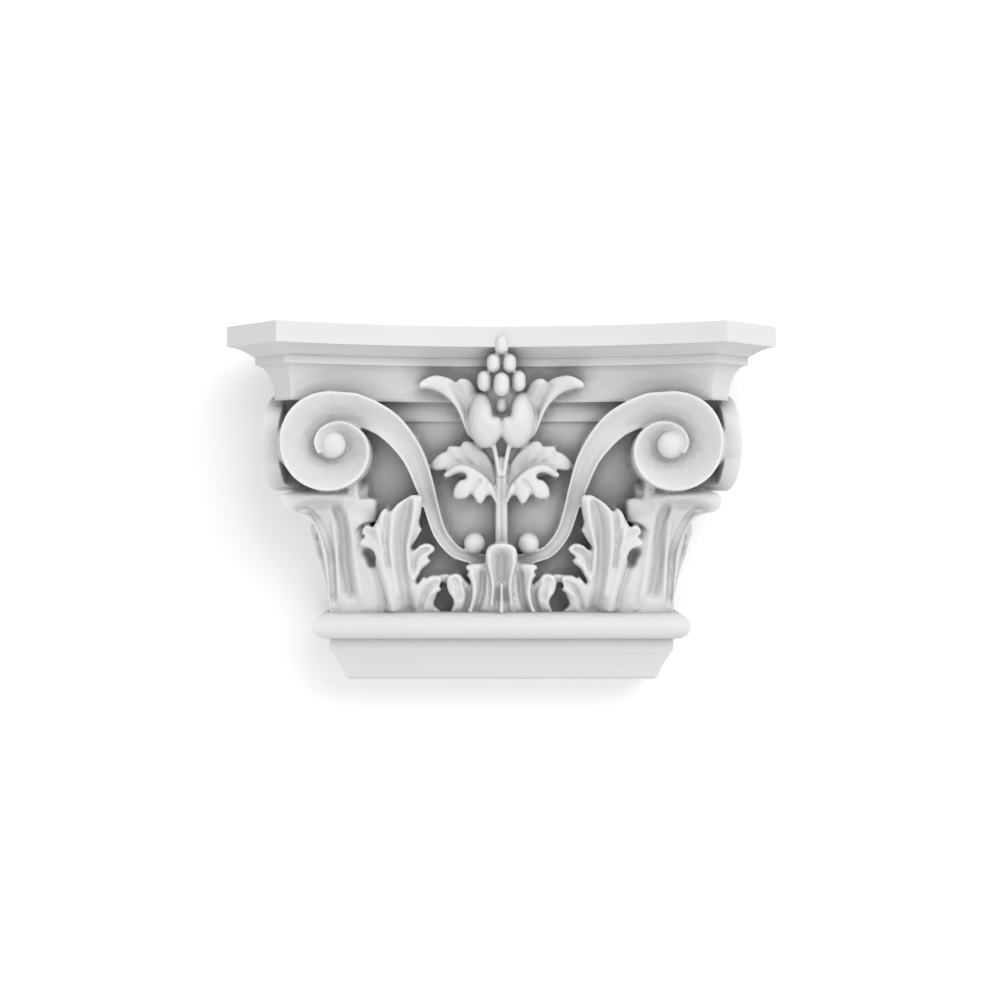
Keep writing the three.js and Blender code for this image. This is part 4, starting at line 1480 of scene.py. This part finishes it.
@dataclass
class Casting:
    """The whole capital, joined into one closed mesh and cut off flat at the wall.

    voxel is the grain of the carving's skin in millimetres, which is then smoothed and brought down to
    about the given count of triangles. Edges sharper than crease stay sharp in the shading.
    """

    block: Block
    material: bpy.types.Material
    name: str = "cast_capital"
    flower: Flower = Flower()
    others: Sequence[Carving] = (Volute(), CornerLeaf(), SideLeaf(), MiddleLeaf())
    seeds: Seeds = Seeds()
    painted_shading: PaintedShading = PaintedShading()
    voxel: float = 0.7
    smoothing: float = 0.5
    smoothings: int = 2
    triangles: int = 150_000
    crease: float = math.radians(38)

    def object_of(self, name: str, mesh: bpy.types.Mesh) -> bpy.types.Object:
        """Puts a mesh into the scene at the origin."""
        made = bpy.data.objects.new(name, mesh)
        bpy.context.scene.collection.objects.link(made)
        return made

    def mesh_of(
        self, name: str, shells: Iterable[Shell], extra: bpy.types.Mesh | None = None
    ) -> bpy.types.Mesh:
        """Collects shells, and another mesh, in one mesh.

        Args:
            name: The mesh's name.
            shells: The closed shells.
            extra: A mesh that is added to them.

        Returns:
            The mesh with every shell as a part of its own.
        """
        points, faces = [], []
        if extra:
            points += [tuple(vertex.co) for vertex in extra.vertices]
            faces += [tuple(polygon.vertices) for polygon in extra.polygons]
        for shell in shells:
            start = len(points)
            points += shell.points.tolist()
            faces += [tuple(i + start for i in face) for face in shell.faces]
        mesh = bpy.data.meshes.new(name)
        mesh.from_pydata(points, [], faces)
        return mesh

    def apply(self, target: bpy.types.Object, kind: str, **settings: object) -> None:
        """Runs one modifier and keeps its result.

        Args:
            target: The object that is changed.
            kind: The modifier's type.
            **settings: The modifier's settings.
        """
        modifier = target.modifiers.new(kind.lower(), kind)
        for name, value in settings.items():
            setattr(modifier, name, value)
        graph = bpy.context.evaluated_depsgraph_get()
        mesh = bpy.data.meshes.new_from_object(target.evaluated_get(graph))
        target.modifiers.remove(modifier)
        target.data = mesh

    def carving(self) -> bpy.types.Object:
        """Melts every carved shell into one skin, as the mould does.

        Returns:
            The carving without the mouldings behind it.
        """
        shells = [shell for part in (*self.others, self.flower) for shell in part.shells(self.block)]
        berries = self.seeds.mesh(*self.flower.berry_spots(self.block), self.material)
        carved = self.object_of("carving", self.mesh_of("carving", shells, berries))
        LOG.info("carving: %d shells, %d faces", len(shells), len(carved.data.polygons))
        self.apply(carved, "REMESH", mode="VOXEL", voxel_size=self.voxel * METRES, adaptivity=0.0)
        LOG.info("skin: %d faces", len(carved.data.polygons))
        self.apply(carved, "SMOOTH", factor=self.smoothing, iterations=self.smoothings)
        ratio = self.triangles / (2 * len(carved.data.polygons))
        self.apply(carved, "DECIMATE", ratio=min(ratio, 1.0))
        return carved

    def block_out(self) -> bpy.types.Object:
        """Joins the abacus, the bell and the foot into one block."""
        first, *others = (
            self.object_of("moulding", self.mesh_of("moulding", [shell]))
            for shell in Mouldings(self.block).shells()
        )
        for other in others:
            self.join(first, other)
        return first

    def join(self, target: bpy.types.Object, other: bpy.types.Object, cut: bool = False) -> None:
        """Joins another object to the target, or cuts it away, and removes it.

        Args:
            target: The object that is changed.
            other: The object that is joined to it or cut out of it.
            cut: Whether it is cut out.
        """
        operation = "DIFFERENCE" if cut else "UNION"
        self.apply(target, "BOOLEAN", operation=operation, object=other, solver="MANIFOLD")
        bpy.data.objects.remove(other)

    def cut_back(self, target: bpy.types.Object) -> None:
        """Cuts off what reaches behind the wall face."""
        size = self.block.width * METRES
        box = bmesh.new()
        bmesh.ops.create_cube(box, size=2 * size)
        bmesh.ops.translate(box, vec=(0, size, 0), verts=box.verts)
        mesh = bpy.data.meshes.new("behind")
        box.to_mesh(mesh)
        box.free()
        self.join(target, self.object_of("behind", mesh), cut=True)

    def build(self) -> bpy.types.Object:
        """Builds the casting.

        Returns:
            The finished piece.
        """
        whole = self.block_out()
        LOG.info("mouldings: %d faces", len(whole.data.polygons))
        self.join(whole, self.carving())
        self.cut_back(whole)
        whole.name = self.name
        whole.data.name = self.name
        return whole

    def dress(self, piece: bpy.types.Object) -> None:
        """Gives the casting its finish, its painted shade and painted highlight, and smooth shading up to
        its creases.

        Args:
            piece: The finished piece.
        """
        piece.data.materials.clear()
        piece.data.materials.append(self.material)
        piece.data.polygons.foreach_set("material_index", [0] * len(piece.data.polygons))
        piece.data.polygons.foreach_set("use_smooth", [True] * len(piece.data.polygons))
        piece.data.set_sharp_from_angle(angle=self.crease)
        self.painted_shading.lay(piece.data)


@dataclass(frozen=True)
class Lamp:
    """A square soft light that faces the capital, with its size in metres and its power in watts."""

    name: str
    place: Row
    size: float
    power: float

    def hang(self) -> None:
        """Adds the light to the scene."""
        data = bpy.data.lights.new(self.name, "AREA")
        data.size = self.size
        data.energy = self.power
        lamp = bpy.data.objects.new(self.name, data)
        lamp.location = self.place
        lamp.rotation_euler = (-Vector(self.place)).to_track_quat("-Z", "Y").to_euler()
        bpy.context.scene.collection.objects.link(lamp)


@dataclass(frozen=True)
class Studio:
    """White wall behind the capital, plain floor, soft light and a camera at the photograph's angle.

    Lengths are in metres, apart from the lens and the sensor, which are in millimetres. The camera's
    distance is measured from the front of the abacus.
    """

    eye_level: float = 0.004
    distance: float = 0.9001
    lens: float = 54.0
    sensor: float = 36.0
    shift: float = -0.0015
    floor_drop: float = 1.3
    floor_half: float = 15.0
    wall_half: float = 1.6
    wall_gap: float = 0.0004
    white: float = 0.985
    matt: float = 0.9
    sky: float = 0.82
    lamps: Sequence[Lamp] = (
        Lamp("key", (0.8, -1.5, 1.0), 1.4, 17.0),
        Lamp("fill", (-0.5, -1.7, -0.9), 1.6, 3.5),
    )

    def camera(self, block: Block) -> None:
        """Sets up the camera square to the front.

        Args:
            block: The capital's sizes.
        """
        data = bpy.data.cameras.new("camera")
        data.sensor_width = self.sensor
        data.lens = self.lens
        data.shift_x = self.shift
        camera = bpy.data.objects.new("camera", data)
        camera.location = (0, -block.reach * METRES - self.distance, self.eye_level)
        camera.rotation_euler = (math.pi / 2, 0, 0)
        bpy.context.scene.collection.objects.link(camera)
        bpy.context.scene.camera = camera

    def paint(self, name: str, one_sided: bool = False) -> bpy.types.Material:
        """Makes the matt white of floor and wall.

        Args:
            name: The material's name.
            one_sided: Whether the surface shows from its front alone.

        Returns:
            The material.
        """
        paint = bpy.data.materials.new(name)
        paint.use_nodes = True
        nodes = NodeTree(paint.node_tree)
        surface = paint.node_tree.nodes["Principled BSDF"]
        surface.inputs["Base Color"].default_value = (self.white, self.white, self.white, 1)
        surface.inputs["Roughness"].default_value = self.matt
        if one_sided:
            behind = nodes.add("ShaderNodeNewGeometry").outputs["Backfacing"]
            clear = nodes.add("ShaderNodeBsdfTransparent").outputs[0]
            both = nodes.add("ShaderNodeMixShader", i0=behind, i1=surface.outputs[0], i2=clear)
            nodes.feed(paint.node_tree.nodes["Material Output"].inputs["Surface"], both.outputs[0])
        return paint

    def panel(self, name: str, corners: Sequence[Row], paint: bpy.types.Material) -> bpy.types.Object:
        """Makes a flat backdrop, which isn't part of the capital.

        Args:
            name: The backdrop's name.
            corners: Its four corners.
            paint: Its finish.

        Returns:
            The backdrop's object.
        """
        mesh = bpy.data.meshes.new(name)
        mesh.from_pydata(corners, [], [(0, 1, 2, 3)])
        mesh.materials.append(paint)
        made = bpy.data.objects.new(name, mesh)
        bpy.context.scene.collection.objects.link(made)
        return made

    def backdrop(self) -> None:
        """Lays the floor and stands the wall, which shows from the front and lets light through."""
        far, low = self.floor_half, -self.floor_drop
        floor = ((-far, -far, low), (far, -far, low), (far, far, low), (-far, far, low))
        self.panel("floor", floor, self.paint("floor_white"))
        half, gap = self.wall_half, self.wall_gap
        wall = self.panel(
            "wall",
            ((-half, gap, low), (half, gap, low), (half, gap, half), (-half, gap, half)),
            self.paint("wall_white", one_sided=True),
        )
        wall.visible_diffuse = False
        wall.visible_glossy = False
        wall.visible_shadow = False

    def build(self, block: Block) -> None:
        """Sets up camera, backdrop and lights.

        Args:
            block: The capital's sizes.
        """
        self.camera(block)
        self.backdrop()
        world = bpy.data.worlds.new("studio")
        world.use_nodes = True
        world.node_tree.nodes["Background"].inputs["Color"].default_value = (1, 1, 1, 1)
        world.node_tree.nodes["Background"].inputs["Strength"].default_value = self.sky
        bpy.context.scene.world = world
        bpy.context.scene.view_settings.view_transform = "Standard"
        for lamp in self.lamps:
            lamp.hang()


def main() -> None:
    """Builds the casting and the studio around it."""
    logging.basicConfig(level=logging.INFO, format="%(name)s: %(message)s")
    block = Block.from_box(*cad_box)
    Studio().build(block)
    LOG.info("studio ready")
    casting = Casting(block, CastWhite().make())
    piece = casting.build()
    casting.dress(piece)
    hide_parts(NODE)
    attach(piece, BODY)
    LOG.info("%s: %d faces", piece.name, len(piece.data.polygons))


if __name__ == "__main__":
    main()
